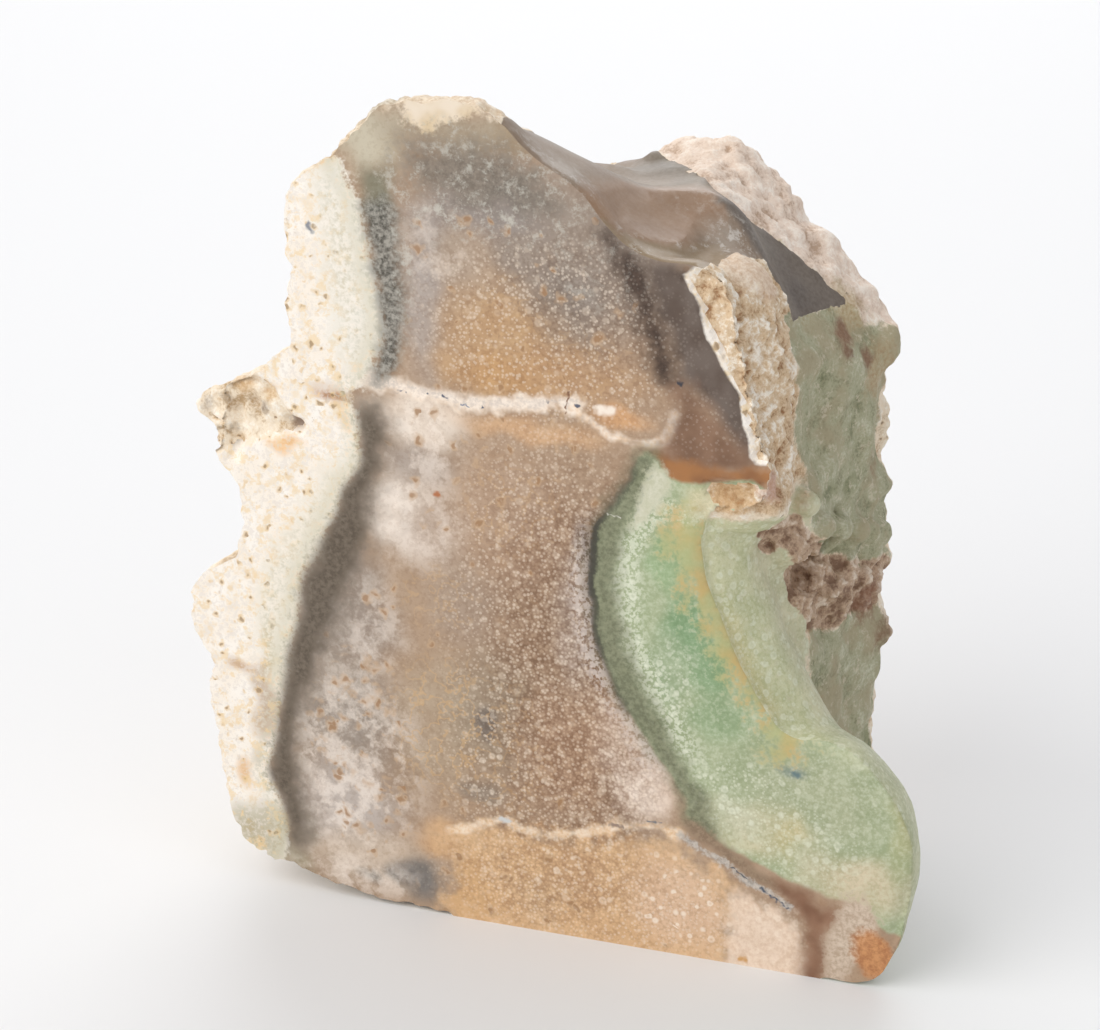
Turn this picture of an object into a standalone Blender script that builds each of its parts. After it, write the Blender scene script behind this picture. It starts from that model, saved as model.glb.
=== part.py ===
"""A hand specimen of banded agate with a green zone, sawn flat on its front.

The stone is first put together from plain volumes: a slab with the outline of the sawn
face, a block behind it, and round lumps and ribs for rind, crust and lobe.  A voxel remesh
melts them into one body.  Large ellipsoids then strike the shell-shaped fracture scars and
the hollows of the right side.  Displacement roughens the rind and the crust.  At the end
two flat cuts make the sawn face and the spot that the stone rests on.

While it is made, X runs to the right along the sawn face, Y goes into the stone from the
sawn face at y = 0, and Z goes up from the table at z = 0.  All sizes below are in
millimetres.
"""
import math
import random

import bmesh
import bpy
from mathutils import Euler, Matrix, Vector

MM = 0.001

# Driving dimensions
SLAB_BACK = 4.8          # the slab with the sawn outline ends here
SLAB_ROUND = 3.0         # its back rim is rounded by this much
BLOCK_FRONT = 4.0        # the block behind it starts here
RIGHT_STARTS = 12.0      # right of this it starts behind the crust and the green zone
BLOCK_FRONT_RIGHT = 12.0 # which is here
RIGHT_PULLED_IN = 3.6    # and there it is narrower by this much
BLOCK_BACK = 30.0        # the block keeps its full outline up to here
BLOCK_END = 37.0         # and ends here
BACK_SHRINK = 0.66       # at the end the outline is this share of its full size
SAW_SPARE = 6.0          # stone in front of y = 0 that the saw takes off
MELT_VOXEL = 0.9         # voxel that melts the volumes together
FINE_VOXEL = 0.8         # voxel after the scars are struck
FACES_KEPT = 8800        # triangles before the two flat cuts

# The sawn face, clockwise from the lower left corner: rind with its lobes and its knob,
# the top edge, the edge of the fracture, the strip of crust, the green zone and its lobe.
SAWN_OUTLINE = [
    (-35.3, 5.0), (-37.0, 11.5), (-38.4, 19.2), (-38.0, 22.0), (-39.7, 26.4),
    (-39.2, 32.0), (-36.6, 37.0), (-34.1, 42.0), (-34.2, 45.4), (-36.6, 49.2),
    (-37.4, 53.2), (-34.4, 55.8), (-31.2, 57.4), (-29.2, 60.2), (-28.0, 65.0),
    (-27.7, 69.4), (-28.5, 74.0),
    (-27.3, 78.8), (-23.4, 82.0), (-20.2, 85.0), (-17.2, 87.8), (-11.5, 88.6),
    (-6.6, 88.4), (-2.4, 84.5), (3.4, 80.9), (6.2, 77.4), (10.1, 75.1),
    (16.4, 74.4), (19.0, 67.3), (21.4, 57.8), (22.8, 53.4), (21.0, 51.8),
    (17.0, 51.2), (14.8, 47.8), (15.6, 42.4), (18.0, 37.0), (21.4, 30.8), (25.2, 26.6),
    (31.2, 26.2), (35.2, 22.8), (38.2, 17.2), (38.2, 10.5), (36.6, 3.0),
    (35.2, 0.9), (28.0, 0.2), (18.0, -1.0), (2.0, -1.0), (-6.0, -0.4),
    (-12.0, 0.4), (-20.5, 1.0), (-25.2, 1.9), (-30.0, 3.1),
]

# The block behind the slab, seen from the front as well.
BLOCK_OUTLINE = [
    (-31.0, 6.0), (-35.0, 14.0), (-36.0, 25.0), (-34.0, 36.0), (-33.5, 48.0),
    (-31.0, 57.0), (-28.0, 65.0), (-24.0, 70.0), (-15.0, 72.5), (-4.0, 73.6),
    (3.0, 76.6), (9.0, 77.6), (14.3, 73.8), (20.0, 68.4), (23.6, 65.2),
    (27.2, 60.0), (26.8, 27.0), (26.6, 14.0), (26.0, 4.0), (21.0, -1.0),
    (-8.0, -1.0), (-20.0, 2.0),
]

# Corners of the shoulder that falls from the high front edge down to the back
SHOULDER = [
    (-19, 2, 85), (-7, 1, 87.6), (3, 1, 80.4), (6, 1, 77), (-25, 2, 74),
    (-20, 12, 78), (-9, 12, 81.4), (0, 12, 80.2), (6, 12, 78.2),
    (-23, 29, 66), (-9, 29, 70), (1, 29, 74), (5, 29, 64), (-26, 29, 58),
]

# Corners of the ridge between the fracture on top and the one on the right
FRACTURE_RIDGE = [
    (4, 10, 78.6), (13.0, 14, 77.8), (15.0, 15, 76.2), (20.8, 13, 66.8), (19, 7, 67),
    (21.6, 20, 61), (6, 24, 76.5), (6, 8, 70), (14, 24, 70), (12, 6, 60), (16, 24, 60),
]

# Round volumes that are added: name, centre, radii, turn about X, Y and Z in degrees
LUMPS = [
    ("green_lobe", (24.6, 2.6, 13.0), (14.0, 11.0, 13.8), (0, 0, 0)),
    ("lobe_root", (10.6, 7.6, 6.6), (16.0, 7.4, 10.8), (0, 0, 12)),
    ("knob", (-33.4, 4.8, 52.2), (6.2, 6.0, 3.4), (0, -12, 0)),
    ("knob_back", (-33.2, 11.0, 50.0), (4.4, 6.0, 3.6), (0, 0, 0)),
    ("rind_lobe_low", (-34.0, 9.0, 27.0), (6.6, 9.0, 7.6), (0, 0, 0)),
    ("rind_lobe_foot", (-31.5, 12.0, 13.0), (6.8, 9.0, 7.4), (0, 0, 0)),
    ("rind_lobe_high", (-25.0, 9.0, 70.0), (5.4, 9.0, 9.0), (0, 0, 0)),
    ("orange_patch", (19.0, 5.2, 50.0), (4.6, 4.9, 3.8), (0, 0, 0)),
    ("orange_nodule", (22.0, 3.4, 50.0), (2.0, 2.4, 2.0), (0, 0, 0)),
    ("back_swell_high", (-10.0, 29.0, 54.0), (20.0, 10.5, 17.0), (0, 20, 0)),
    ("back_swell_low", (6.0, 28.0, 24.0), (19.0, 11.0, 16.0), (0, -15, 0)),
    ("back_swell_left", (-23.0, 23.0, 30.0), (12.5, 13.0, 20.0), (0, 0, 0)),
]

# Round ribs that are added: name, radius, middle line from top to bottom
RIBS = [
    ("crust_ridge", 4.2, [(16.4, 7.4, 69.8), (17.8, 7.4, 66.0), (18.4, 7.6, 59.0),
                          (18.6, 7.6, 52.0), (18.4, 7.4, 48.6)]),
    ("green_column", 6.2, [(12.0, 5.8, 48.6), (14.0, 6.2, 40.6), (16.2, 6.3, 34.6),
                           (18.8, 6.3, 28.8), (22.0, 6.3, 23.4)]),
    ("crust_rim", 4.0, [(-1.0, 30.0, 70.4), (4.0, 29.6, 73.6), (9.2, 29.4, 74.4),
                        (13.6, 29.4, 69.6), (19.6, 29.4, 63.4), (24.0, 28.6, 58.4)]),
]

# Shell-shaped scars of the glassy fracture that are struck off, in the form of the lumps
GLASSY_SCARS = [
    ("main_scar", (13.2, 5.0, 97.0), (14.2, 19.4, 21.8), (0, 0, 0)),
    ("top_strip_scar", (3.0, 20.0, 99.2), (22.0, 17.0, 22.6), (0, 14, 0)),
    ("side_scar", (27.4, 19.6, 77.6), (12.0, 8.6, 16.5), (0, -31, 4)),
]

# Hollows in the rough sides
HOLLOWS = [
    ("knob_front", (-38.5, -7.0, 53.4), (11.5, 8.4, 5.2), (0, 0, 0)),
    ("side_flake_1", (36.4, 14.0, 56.0), (14.4, 10.6, 15.0), (0, 0, 10)),
    ("side_flake_2", (38.6, 29.0, 49.0), (13.4, 10.0, 12.0), (10, 0, 0)),
    ("side_flake_3", (36.8, 18.0, 33.4), (14.2, 9.0, 11.0), (-14, 0, 8)),
    ("side_flake_4", (40.0, 27.0, 17.0), (14.4, 8.6, 12.6), (0, 6, 0)),
    ("crevice", (28.0, 18.5, 40.0), (7.6, 13.0, 2.6), (-24, 6, 0)),
    ("crevice_mouth", (25.5, 12.0, 41.0), (5.0, 4.8, 4.6), (0, 0, 0)),
    ("crevice_hole_high", (23.6, 18.6, 42.4), (4.0, 1.6, 1.5), (0, 0, 0)),
    ("crevice_hole_low", (22.6, 14.6, 37.6), (3.6, 1.5, 2.0), (0, 0, 0)),
    ("back_hollow_right", (26.0, 44.0, 45.0), (15.0, 11.0, 20.0), (0, 0, 0)),
    ("back_hollow_left", (-34.0, 42.0, 62.0), (14.0, 12.0, 16.0), (0, 0, 0)),
]

# Crusty lumps that fill parts of the crevice: centre and radius
CREVICE_LUMPS = [
    ((19.6, 9.4, 46.0), 2.5), ((21.4, 11.2, 42.6), 2.5), ((20.4, 12.6, 40.6), 1.8),
    ((23.0, 19.6, 40.2), 1.9), ((24.2, 22.6, 38.6), 2.3), ((25.0, 26.0, 37.0), 2.4),
    ((25.0, 29.2, 35.0), 2.2), ((23.4, 20.6, 34.8), 2.6), ((23.4, 20.4, 31.6), 1.9),
    ((21.0, 16.6, 35.0), 1.9), ((24.4, 29.0, 26.8), 3.0),
]

# Small lumps of rind over the left side and the back
RIND_SEED = 7
RIND_LUMPS = 80
RIND_RADIUS = (2.6, 6.2)
RIND_SINK = 0.72         # share of its radius that a lump is sunk
RIND_MIDDLE = (-4.0, 18.0, 40.0)
RIND_TOP = 60.0          # above this they stay left of RIND_TOP_LEFT
RIND_TOP_LEFT = -10.0

# Kinds of rough surface: height from pit to top, and size of the pattern
RELIEF = {
    "rind": (2.2, 4.2),
    "crust": (1.5, 2.4),
    "green": (1.8, 4.6),
}

# Where each kind of surface begins: it is not there yet at the first value and full at the
# second.  Places are in millimetres, facings are parts of the surface's normal.
OFF_GLASS = (0.5, 1.6)         # distance from a scar's polish
BEHIND_SAW = (0.1, 1.6)        # depth behind the sawn face
BACK_FROM = (24.0, 27.0)       # depth where the rind of the back and the top rim begins
BEHIND_COLUMN = (11.0, 13.5)   # depth where the strip of crust gives way to the green side
LEFT_FACING = (-0.1, 0.5)
LEFT_ENDS = (-6.0, 0.0)        # the left rind fades out over these widths
RIGHT_FACING = (0.1, 0.5)
RIGHT_FROM = (8.0, 12.0)
LEFT_CRUST = 0.5               # the left rind also has this share of crust
TOP_FACING = (0.3, 0.6)
FRACTURE_HEIGHT = (70.0, 73.0)
FRACTURE_LEFT = -5.6           # the fracture's left edge at the sawn face
FRACTURE_SLANT = 0.25          # it drifts right by this share of the depth
FRACTURE_FADE = (0.0, 1.5)
CRUST_FOOT = (44.0, 47.0)      # height where the strip of crust begins
CREVICE_HEIGHT = 40.6
CREVICE_HALF = 7.5
CREVICE_FADE = (0.0, 3.0)


def clear_scene():
    for item in list(bpy.data.objects):
        bpy.data.objects.remove(item, do_unlink=True)


def new_collection(name):
    made = bpy.data.collections.new(name)
    bpy.context.scene.collection.children.link(made)
    return made


def stone_material():
    """Greyish tan chalcedony with a polished look."""
    made = bpy.data.materials.new("agate")
    made.use_nodes = True
    shader = made.node_tree.nodes["Principled BSDF"]
    shader.inputs["Base Color"].default_value = (0.46, 0.36, 0.27, 1.0)
    shader.inputs["Roughness"].default_value = 0.4
    shader.inputs["Metallic"].default_value = 0.0
    return made


def mesh_object(name, mesh, home):
    made = bpy.data.objects.new(name, mesh)
    home.objects.link(made)
    return made


def shape_object(name, shape, home):
    """Turns a bmesh into an object."""
    mesh = bpy.data.meshes.new(name)
    shape.to_mesh(mesh)
    shape.free()
    return mesh_object(name, mesh, home)


def evaluated_mesh(source, name):
    """The mesh of an object or curve with its modifiers, in world space."""
    bpy.context.view_layer.update()
    graph = bpy.context.evaluated_depsgraph_get()
    mesh = bpy.data.meshes.new_from_object(source.evaluated_get(graph))
    mesh.transform(source.matrix_world)
    mesh.name = name
    return mesh


def curve_to_mesh_object(curve, name, home):
    """Turns a curve object into a mesh object with its caps welded."""
    welded = bmesh.new()
    welded.from_mesh(evaluated_mesh(curve, name))
    bmesh.ops.remove_doubles(welded, verts=welded.verts, dist=0.01 * MM)
    bpy.data.objects.remove(curve, do_unlink=True)
    return shape_object(name, welded, home)


def smooth_spline(curve, places, closed):
    """A Bezier spline that runs smoothly through some places, given in millimetres."""
    spline = curve.splines.new("BEZIER")
    spline.use_cyclic_u = closed
    spline.bezier_points.add(len(places) - 1)
    for point, place in zip(spline.bezier_points, places):
        point.co = Vector(place) * MM
        point.handle_left_type = "AUTO"
        point.handle_right_type = "AUTO"


def outline_slab(name, outline, front, back, home):
    """An outline in X and Z, smooth through its points and given depth along Y."""
    curve = bpy.data.curves.new(name, "CURVE")
    curve.dimensions = "2D"
    curve.fill_mode = "BOTH"
    curve.resolution_u = 4
    curve.extrude = ((back - front) / 2 - SLAB_ROUND) * MM
    curve.bevel_depth = SLAB_ROUND * MM
    curve.bevel_resolution = 3
    curve.offset = -SLAB_ROUND * MM
    smooth_spline(curve, [(x, z, 0.0) for x, z in outline], closed=True)
    slab = bpy.data.objects.new(name, curve)
    slab.rotation_euler = (math.radians(90), 0.0, 0.0)
    slab.location = (0.0, (front + back) / 2 * MM, 0.0)
    home.objects.link(slab)
    return curve_to_mesh_object(slab, name, home)


def hull(name, corners, home):
    """The smallest convex body around some corners."""
    shape = bmesh.new()
    for corner in corners:
        shape.verts.new(Vector(corner) * MM)
    result = bmesh.ops.convex_hull(shape, input=shape.verts)
    inner = [item for item in result["geom_interior"] if isinstance(item, bmesh.types.BMVert)]
    bmesh.ops.delete(shape, geom=inner, context="VERTS")
    bmesh.ops.recalc_face_normals(shape, faces=shape.faces)
    return shape_object(name, shape, home)


def lump(name, centre, radii, turn, home, rings=24):
    """An ellipsoid, turned in degrees about X, Y and Z."""
    shape = bmesh.new()
    bmesh.ops.create_uvsphere(shape, u_segments=rings * 2, v_segments=rings, radius=1.0)
    spin = Euler([math.radians(angle) for angle in turn])
    place = Matrix.LocRotScale(Vector(centre) * MM, spin, Vector(radii) * MM)
    bmesh.ops.transform(shape, matrix=place, verts=shape.verts)
    return shape_object(name, shape, home)


def ball(name, centre, radius, home):
    return lump(name, centre, (radius,) * 3, (0, 0, 0), home, 12)


def rib(name, radius, middle, home):
    """A round rib along a smooth middle line, with a ball at each end."""
    curve = bpy.data.curves.new(name, "CURVE")
    curve.dimensions = "3D"
    curve.bevel_depth = radius * MM
    curve.bevel_resolution = 4
    curve.use_fill_caps = True
    curve.resolution_u = 6
    smooth_spline(curve, middle, closed=False)
    tube = bpy.data.objects.new(name, curve)
    home.objects.link(tube)
    return [
        curve_to_mesh_object(tube, name, home),
        ball(name + "_top", middle[0], radius, home),
        ball(name + "_foot", middle[-1], radius, home),
    ]


def block_corners():
    """Corners of the block: its outline twice, and once more, smaller, at the end."""
    middle_x = sum(x for x, z in BLOCK_OUTLINE) / len(BLOCK_OUTLINE)
    middle_z = sum(z for x, z in BLOCK_OUTLINE) / len(BLOCK_OUTLINE)
    corners = []
    for x, z in BLOCK_OUTLINE:
        front = (x, BLOCK_FRONT, z)
        if x > RIGHT_STARTS:
            front = (x - RIGHT_PULLED_IN, BLOCK_FRONT_RIGHT, z)
        small_x = middle_x + (x - middle_x) * BACK_SHRINK
        small_z = middle_z + (z - middle_z) * BACK_SHRINK
        corners += [front, (x, BLOCK_BACK, z), (small_x, BLOCK_END, small_z)]
    return corners


def rind_lumps(block, home):
    """Small lumps over the left side and the back, each sunk into the block."""
    chance = random.Random(RIND_SEED)
    middle = Vector(RIND_MIDDLE) * MM
    made = []
    while len(made) < RIND_LUMPS:
        way = Vector([chance.gauss(0.0, 1.0) for _ in range(3)]).normalized()
        radius = chance.uniform(*RIND_RADIUS)
        tall = chance.uniform(0.8, 1.5)
        if way.z < -0.75 or (way.y < 0.25 and way.x > -0.55):
            continue
        found, place, normal, _ = block.ray_cast(middle + way, -way)
        centre = place / MM - normal * radius * RIND_SINK
        if found and (centre.z < RIND_TOP or centre.x < RIND_TOP_LEFT):
            radii = (radius, radius, radius * tall)
            made.append(lump(f"rind_lump_{len(made)}", centre, radii, (0, 0, 0), home, 8))
    return made


def melt(pieces, name, voxel, home):
    """Joins overlapping pieces into one mesh object and melts them with a voxel remesh."""
    joined = bmesh.new()
    for piece in pieces:
        joined.from_mesh(piece.data)
        bpy.data.objects.remove(piece, do_unlink=True)
    body = shape_object(name, joined, home)
    remesh = body.modifiers.new("melt", "REMESH")
    remesh.mode = "VOXEL"
    remesh.voxel_size = voxel * MM
    return body


def add_cut(body, cutter):
    cut = body.modifiers.new("cut " + cutter.name, "BOOLEAN")
    cut.operation = "DIFFERENCE"
    cut.solver = "EXACT"
    cut.object = cutter


def bake(body):
    """Gives the object the mesh that its modifiers make, and removes them."""
    mesh = evaluated_mesh(body, body.name)
    body.modifiers.clear()
    body.data = mesh


def soft_step(value, limits):
    """Goes smoothly from 0 to 1 between two limits."""
    low, high = limits
    share = min(1.0, max(0.0, (value - low) / (high - low)))
    return share * share * (3.0 - 2.0 * share)


def scar_distance(point, scar):
    """About how far a point is from a scar's surface, in millimetres."""
    _, centre, radii, turn = scar
    spin = Euler([math.radians(angle) for angle in turn]).to_matrix()
    local = spin.transposed() @ (point - Vector(centre))
    scaled = Vector([share / radius for share, radius in zip(local, radii)])
    return abs(scaled.length - 1.0) * min(radii)


def surface_kinds(point, normal):
    """How much of each kind of rough surface there is at a point, each 0 to 1."""
    back = soft_step(point.y, BACK_FROM)
    behind_column = soft_step(point.y, BEHIND_COLUMN)
    off_glass = soft_step(min(scar_distance(point, scar) for scar in GLASSY_SCARS), OFF_GLASS)
    fracture_edge = FRACTURE_LEFT + FRACTURE_SLANT * point.y
    on_fracture = soft_step(point.x - fracture_edge, FRACTURE_FADE)
    on_fracture *= soft_step(point.z, FRACTURE_HEIGHT) * soft_step(normal.z, TOP_FACING)
    rough = soft_step(point.y, BEHIND_SAW) * off_glass * (1.0 - on_fracture * (1.0 - back))
    left = soft_step(-normal.x, LEFT_FACING) * (1.0 - soft_step(point.x, LEFT_ENDS))
    right = soft_step(normal.x, RIGHT_FACING) * soft_step(point.x, RIGHT_FROM) * (1.0 - back)
    strip = (1.0 - behind_column) * soft_step(point.z, CRUST_FOOT)
    near_crevice = soft_step(CREVICE_HALF - abs(point.z - CREVICE_HEIGHT), CREVICE_FADE)
    right_crust = right * max(strip, behind_column * near_crevice)
    return {
        "rind": max(left, back) * rough,
        "crust": max(back, right_crust, LEFT_CRUST * left) * rough,
        "green": right * behind_column * rough,
    }


def add_relief(body):
    """Roughens the surface by the kinds of surface it has, with one Displace for each."""
    groups = {name: body.vertex_groups.new(name=name) for name in RELIEF}
    for vertex in body.data.vertices:
        kinds = surface_kinds(vertex.co / MM, vertex.normal)
        for name, share in kinds.items():
            groups[name].add([vertex.index], share, "REPLACE")
    for name, (height, size) in RELIEF.items():
        pattern = bpy.data.textures.new(name, "CLOUDS")
        pattern.noise_scale = size * MM
        pattern.noise_depth = 1
        rough = body.modifiers.new("rough " + name, "DISPLACE")
        rough.texture = pattern
        rough.texture_coords = "LOCAL"
        rough.vertex_group = name
        rough.mid_level = 0.5
        rough.strength = height * MM


def add_decimate(body, faces):
    triangles = sum(len(face.vertices) - 2 for face in body.data.polygons)
    fewer = body.modifiers.new("fewer faces", "DECIMATE")
    fewer.decimate_type = "COLLAPSE"
    fewer.ratio = min(1.0, faces / triangles)


def box(name, low, high, home):
    """A box between two corners."""
    shape = bmesh.new()
    bmesh.ops.create_cube(shape, size=1.0)
    size = Vector(high) - Vector(low)
    middle = (Vector(high) + Vector(low)) / 2
    place = Matrix.LocRotScale(middle * MM, None, size * MM)
    bmesh.ops.transform(shape, matrix=place, verts=shape.verts)
    return shape_object(name, shape, home)


def rough_stone(home, cutters):
    """The stone before its scars: all volumes melted into one, then struck and hollowed."""
    slab = outline_slab("sawn_slab", SAWN_OUTLINE, -SAW_SPARE, SLAB_BACK, home)
    block = hull("block", block_corners(), home)
    pieces = [slab, block]
    pieces.append(hull("shoulder", SHOULDER, home))
    pieces.append(hull("fracture_ridge", FRACTURE_RIDGE, home))
    pieces += [lump(*sizes, home) for sizes in LUMPS]
    for name, radius, middle in RIBS:
        pieces += rib(name, radius, middle, home)
    bpy.context.view_layer.update()
    pieces += rind_lumps(block, home)
    stone = melt(pieces, "agate_stone", MELT_VOXEL, home)
    for sizes in GLASSY_SCARS + HOLLOWS:
        add_cut(stone, lump(*sizes, cutters, 48))
    bake(stone)
    return stone


def finished_stone(stone, home, cutters):
    """Adds the crevice's lumps and the relief, and makes the two flat cuts."""
    pieces = [stone]
    for number, (centre, radius) in enumerate(CREVICE_LUMPS):
        pieces.append(ball(f"crevice_lump_{number}", centre, radius, home))
    stone = melt(pieces, "agate_stone", FINE_VOXEL, home)
    bake(stone)
    add_relief(stone)
    add_decimate(stone, FACES_KEPT)
    reach = 80.0
    add_cut(stone, box("saw", (-reach, -reach, -reach), (reach, 0.0, 2 * reach), cutters))
    add_cut(stone, box("table", (-reach, -reach, -reach), (reach, reach, 0.0), cutters))
    bake(stone)
    return stone


def set_down(stone):
    """Puts the middle of the stone's box over the origin, with the flat spot at z = 0."""
    places = [vertex.co for vertex in stone.data.vertices]
    for axis in (0, 1):
        low = min(place[axis] for place in places)
        high = max(place[axis] for place in places)
        stone.location[axis] = -(low + high) / 2


def build():
    clear_scene()
    home = new_collection("agate_specimen")
    cutters = new_collection("cutters")
    stone = finished_stone(rough_stone(home, cutters), home, cutters)
    stone.data.materials.clear()
    stone.data.materials.append(stone_material())
    set_down(stone)
    for cutter in cutters.objects:
        cutter.hide_render = True
        cutter.display_type = "WIRE"
    return stone


agate_stone = build()
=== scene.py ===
# %% [markdown]
# # A sawn agate with a green zone
# This stone is one natural piece.  Its front was sawn flat and polished, and that face shows
# what the stone is made of: a cream rind on the left, a dark band, tan agate full of tiny
# balls, and a green zone on the right.  The other sides are as they grew or broke.
#
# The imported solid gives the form.  The looks are made in three steps: a fine mesh with the
# grain of each kind of surface, painted places that say what is where, and two materials
# that turn those places into colours.

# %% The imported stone
import math
import time

import bmesh
import bpy
import numpy as np
from mathutils import Euler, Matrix, Vector, geometry, noise


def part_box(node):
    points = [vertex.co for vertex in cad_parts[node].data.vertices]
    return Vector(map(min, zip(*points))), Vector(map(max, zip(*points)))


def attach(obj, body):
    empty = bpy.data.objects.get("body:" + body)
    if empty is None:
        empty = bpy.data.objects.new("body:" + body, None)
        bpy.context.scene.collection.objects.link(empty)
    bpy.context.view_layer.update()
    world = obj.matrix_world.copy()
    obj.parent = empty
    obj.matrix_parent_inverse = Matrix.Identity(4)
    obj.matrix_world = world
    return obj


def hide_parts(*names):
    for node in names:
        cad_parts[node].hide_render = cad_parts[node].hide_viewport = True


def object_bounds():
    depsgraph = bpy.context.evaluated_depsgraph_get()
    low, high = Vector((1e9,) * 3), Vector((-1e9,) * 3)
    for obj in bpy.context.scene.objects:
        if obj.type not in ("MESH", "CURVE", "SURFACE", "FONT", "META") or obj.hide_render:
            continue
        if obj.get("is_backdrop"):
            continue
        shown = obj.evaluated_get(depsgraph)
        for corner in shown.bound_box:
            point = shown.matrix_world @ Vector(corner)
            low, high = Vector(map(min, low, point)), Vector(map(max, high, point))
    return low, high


started = time.time()
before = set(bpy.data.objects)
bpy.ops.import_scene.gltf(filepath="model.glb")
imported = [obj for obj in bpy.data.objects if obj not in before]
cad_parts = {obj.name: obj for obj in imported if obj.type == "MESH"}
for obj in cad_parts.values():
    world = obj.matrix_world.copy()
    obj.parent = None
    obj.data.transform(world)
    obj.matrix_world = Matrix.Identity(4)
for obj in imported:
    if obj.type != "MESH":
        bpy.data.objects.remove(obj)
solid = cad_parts["agate_stone"]
cad_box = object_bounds()
low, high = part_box("agate_stone")


def tell(*words):
    """Prints what was made, and after how long."""
    print(*words, "after", round(time.time() - started, 1), "s")


print("the solid spans", [round(1000 * side, 1) for side in high - low], "mm")

# %% [markdown]
# ## Millimetres on the sawn face
# All places below are in millimetres, as if a ruler lay on the sawn face: x to the right,
# y into the stone, z up from the table.  The ruler's zero isn't the middle of the box, so one
# shift turns a place on the ruler into a place in the scene.  Working it out from the box
# keeps the markings on the stone, whatever its place.

# %% The ruler
MM = 0.001
LEFT_END = -40.87          # where the ruler has the stone's left end
SHIFT = np.array([low.x / MM - LEFT_END, low.y / MM, 0.0])


def to_scene(place):
    """A place on the ruler, in the scene's metres."""
    return Vector(np.array(place) + SHIFT) * MM


def places_of(mesh):
    """The mesh's points as rows of x, y and z on the ruler."""
    flat = np.empty(len(mesh.vertices) * 3, np.float32)
    mesh.vertices.foreach_get("co", flat)
    return flat.reshape(-1, 3) / MM - SHIFT


def normals_of(mesh):
    flat = np.empty(len(mesh.vertices) * 3, np.float32)
    mesh.vertex_normals.foreach_get("vector", flat)
    return flat.reshape(-1, 3)


def move_to(mesh, places):
    mesh.vertices.foreach_set("co", ((places + SHIFT) * MM).ravel())
    mesh.update()


print("the ruler's zero lies at", [round(float(v), 2) for v in SHIFT], "mm")

# %% [markdown]
# ## A soft blank
# The solid has large flat facets, and a natural stone has none.  A subdivision would keep
# them as soft humps with pinched corners.  A voxel remesh gives a fine even mesh without
# history, and some smoothing melts the facets away.  It would also round the saw's edges, so
# the blank first gets spare stone in front of the sawn face and under the flat spot, which
# is sawn off again at the end.

# %% Spare stone and crusty lumps
SPARE = 3.0
VOXEL = 0.32
FLAT = 0.02                # a point this near to a flat cut belongs to it

# Crusty lumps in the crevice of the right side: middle and radius
CREVICE_CRUST = [
    ((23.6, 10.6, 47.4), 1.5), ((22.0, 11.6, 45.6), 1.9), ((24.4, 13.4, 44.0), 1.6),
    ((22.8, 14.6, 42.0), 1.7), ((25.2, 16.4, 43.0), 1.3), ((24.8, 19.0, 41.8), 1.5),
    ((25.8, 22.0, 40.6), 1.6), ((26.2, 25.0, 39.4), 1.5), ((26.4, 28.0, 38.0), 1.6),
    ((24.6, 21.4, 37.0), 1.8), ((25.4, 23.6, 34.6), 1.6), ((24.0, 18.2, 35.4), 1.3),
    ((25.4, 27.4, 33.6), 1.7), ((26.0, 30.2, 34.6), 1.5), ((23.0, 16.0, 37.0), 1.1),
]


def with_spare_stone(mesh):
    """A copy of the mesh whose two flat cuts are moved out, with the crevice's lumps."""
    shape = bmesh.new()
    shape.from_mesh(mesh)
    for point in shape.verts:
        if point.co.y < low.y + FLAT * MM:
            point.co.y -= SPARE * MM
        if point.co.z < low.z + FLAT * MM:
            point.co.z -= SPARE * MM
    for middle, radius in CREVICE_CRUST:
        ball = bmesh.ops.create_icosphere(shape, subdivisions=3, radius=radius * MM)
        bmesh.ops.translate(shape, verts=ball["verts"], vec=to_scene(middle))
    made = bpy.data.meshes.new("agate_specimen")
    shape.to_mesh(made)
    shape.free()
    return made


piece = bpy.data.objects.new("agate_specimen", with_spare_stone(solid.data))
bpy.context.scene.collection.objects.link(piece)


def bake_modifiers(thing):
    """Gives the object the mesh that its modifiers make."""
    bpy.context.view_layer.update()
    graph = bpy.context.evaluated_depsgraph_get()
    mesh = bpy.data.meshes.new_from_object(thing.evaluated_get(graph))
    thing.modifiers.clear()
    thing.data = mesh
    mesh.name = thing.name


remesh = piece.modifiers.new("fine even mesh", "REMESH")
remesh.mode = "VOXEL"
remesh.voxel_size = VOXEL * MM
melt = piece.modifiers.new("melt the facets", "SMOOTH")
melt.factor = 0.5
melt.iterations = int(1.6 / VOXEL ** 2)
bake_modifiers(piece)
tell("the blank has", len(piece.data.vertices), "points")

# %% [markdown]
# ## Shell-shaped fractures
# Agate breaks like thick glass, in smooth hollow shells that meet in sharp ridges.  Three
# large ellipsoids struck the shells from the solid.  A Boolean with the same ellipsoids would
# work on the fine mesh too, but it is slow.  Here each point inside an ellipsoid is pushed
# straight out to its surface instead, which leaves the same clean shells.  Faint rings round
# the point of impact are added to the radius, because a real shell has them.

# %% Pushing the points out of the shells
# Name, middle, radii, turn about X, Y and Z in degrees, point of impact
SHELLS = [
    ("main", (13.2, 5.0, 97.0), (14.2, 19.4, 21.8), (0, 0, 0), (13.0, 24.0, 80.0)),
    ("top strip", (3.0, 20.0, 99.2), (22.0, 17.0, 22.6), (0, 14, 0), (-12.0, 2.0, 84.0)),
    ("side", (27.4, 19.6, 77.6), (12.0, 8.6, 16.5), (0, -31, 4), (14.0, 15.0, 79.0)),
]
TAKEN_OFF = 0.35           # the shells go this much deeper than in the solid
RING_HEIGHT = 0.05
RING_SPACING = 2.3


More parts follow.
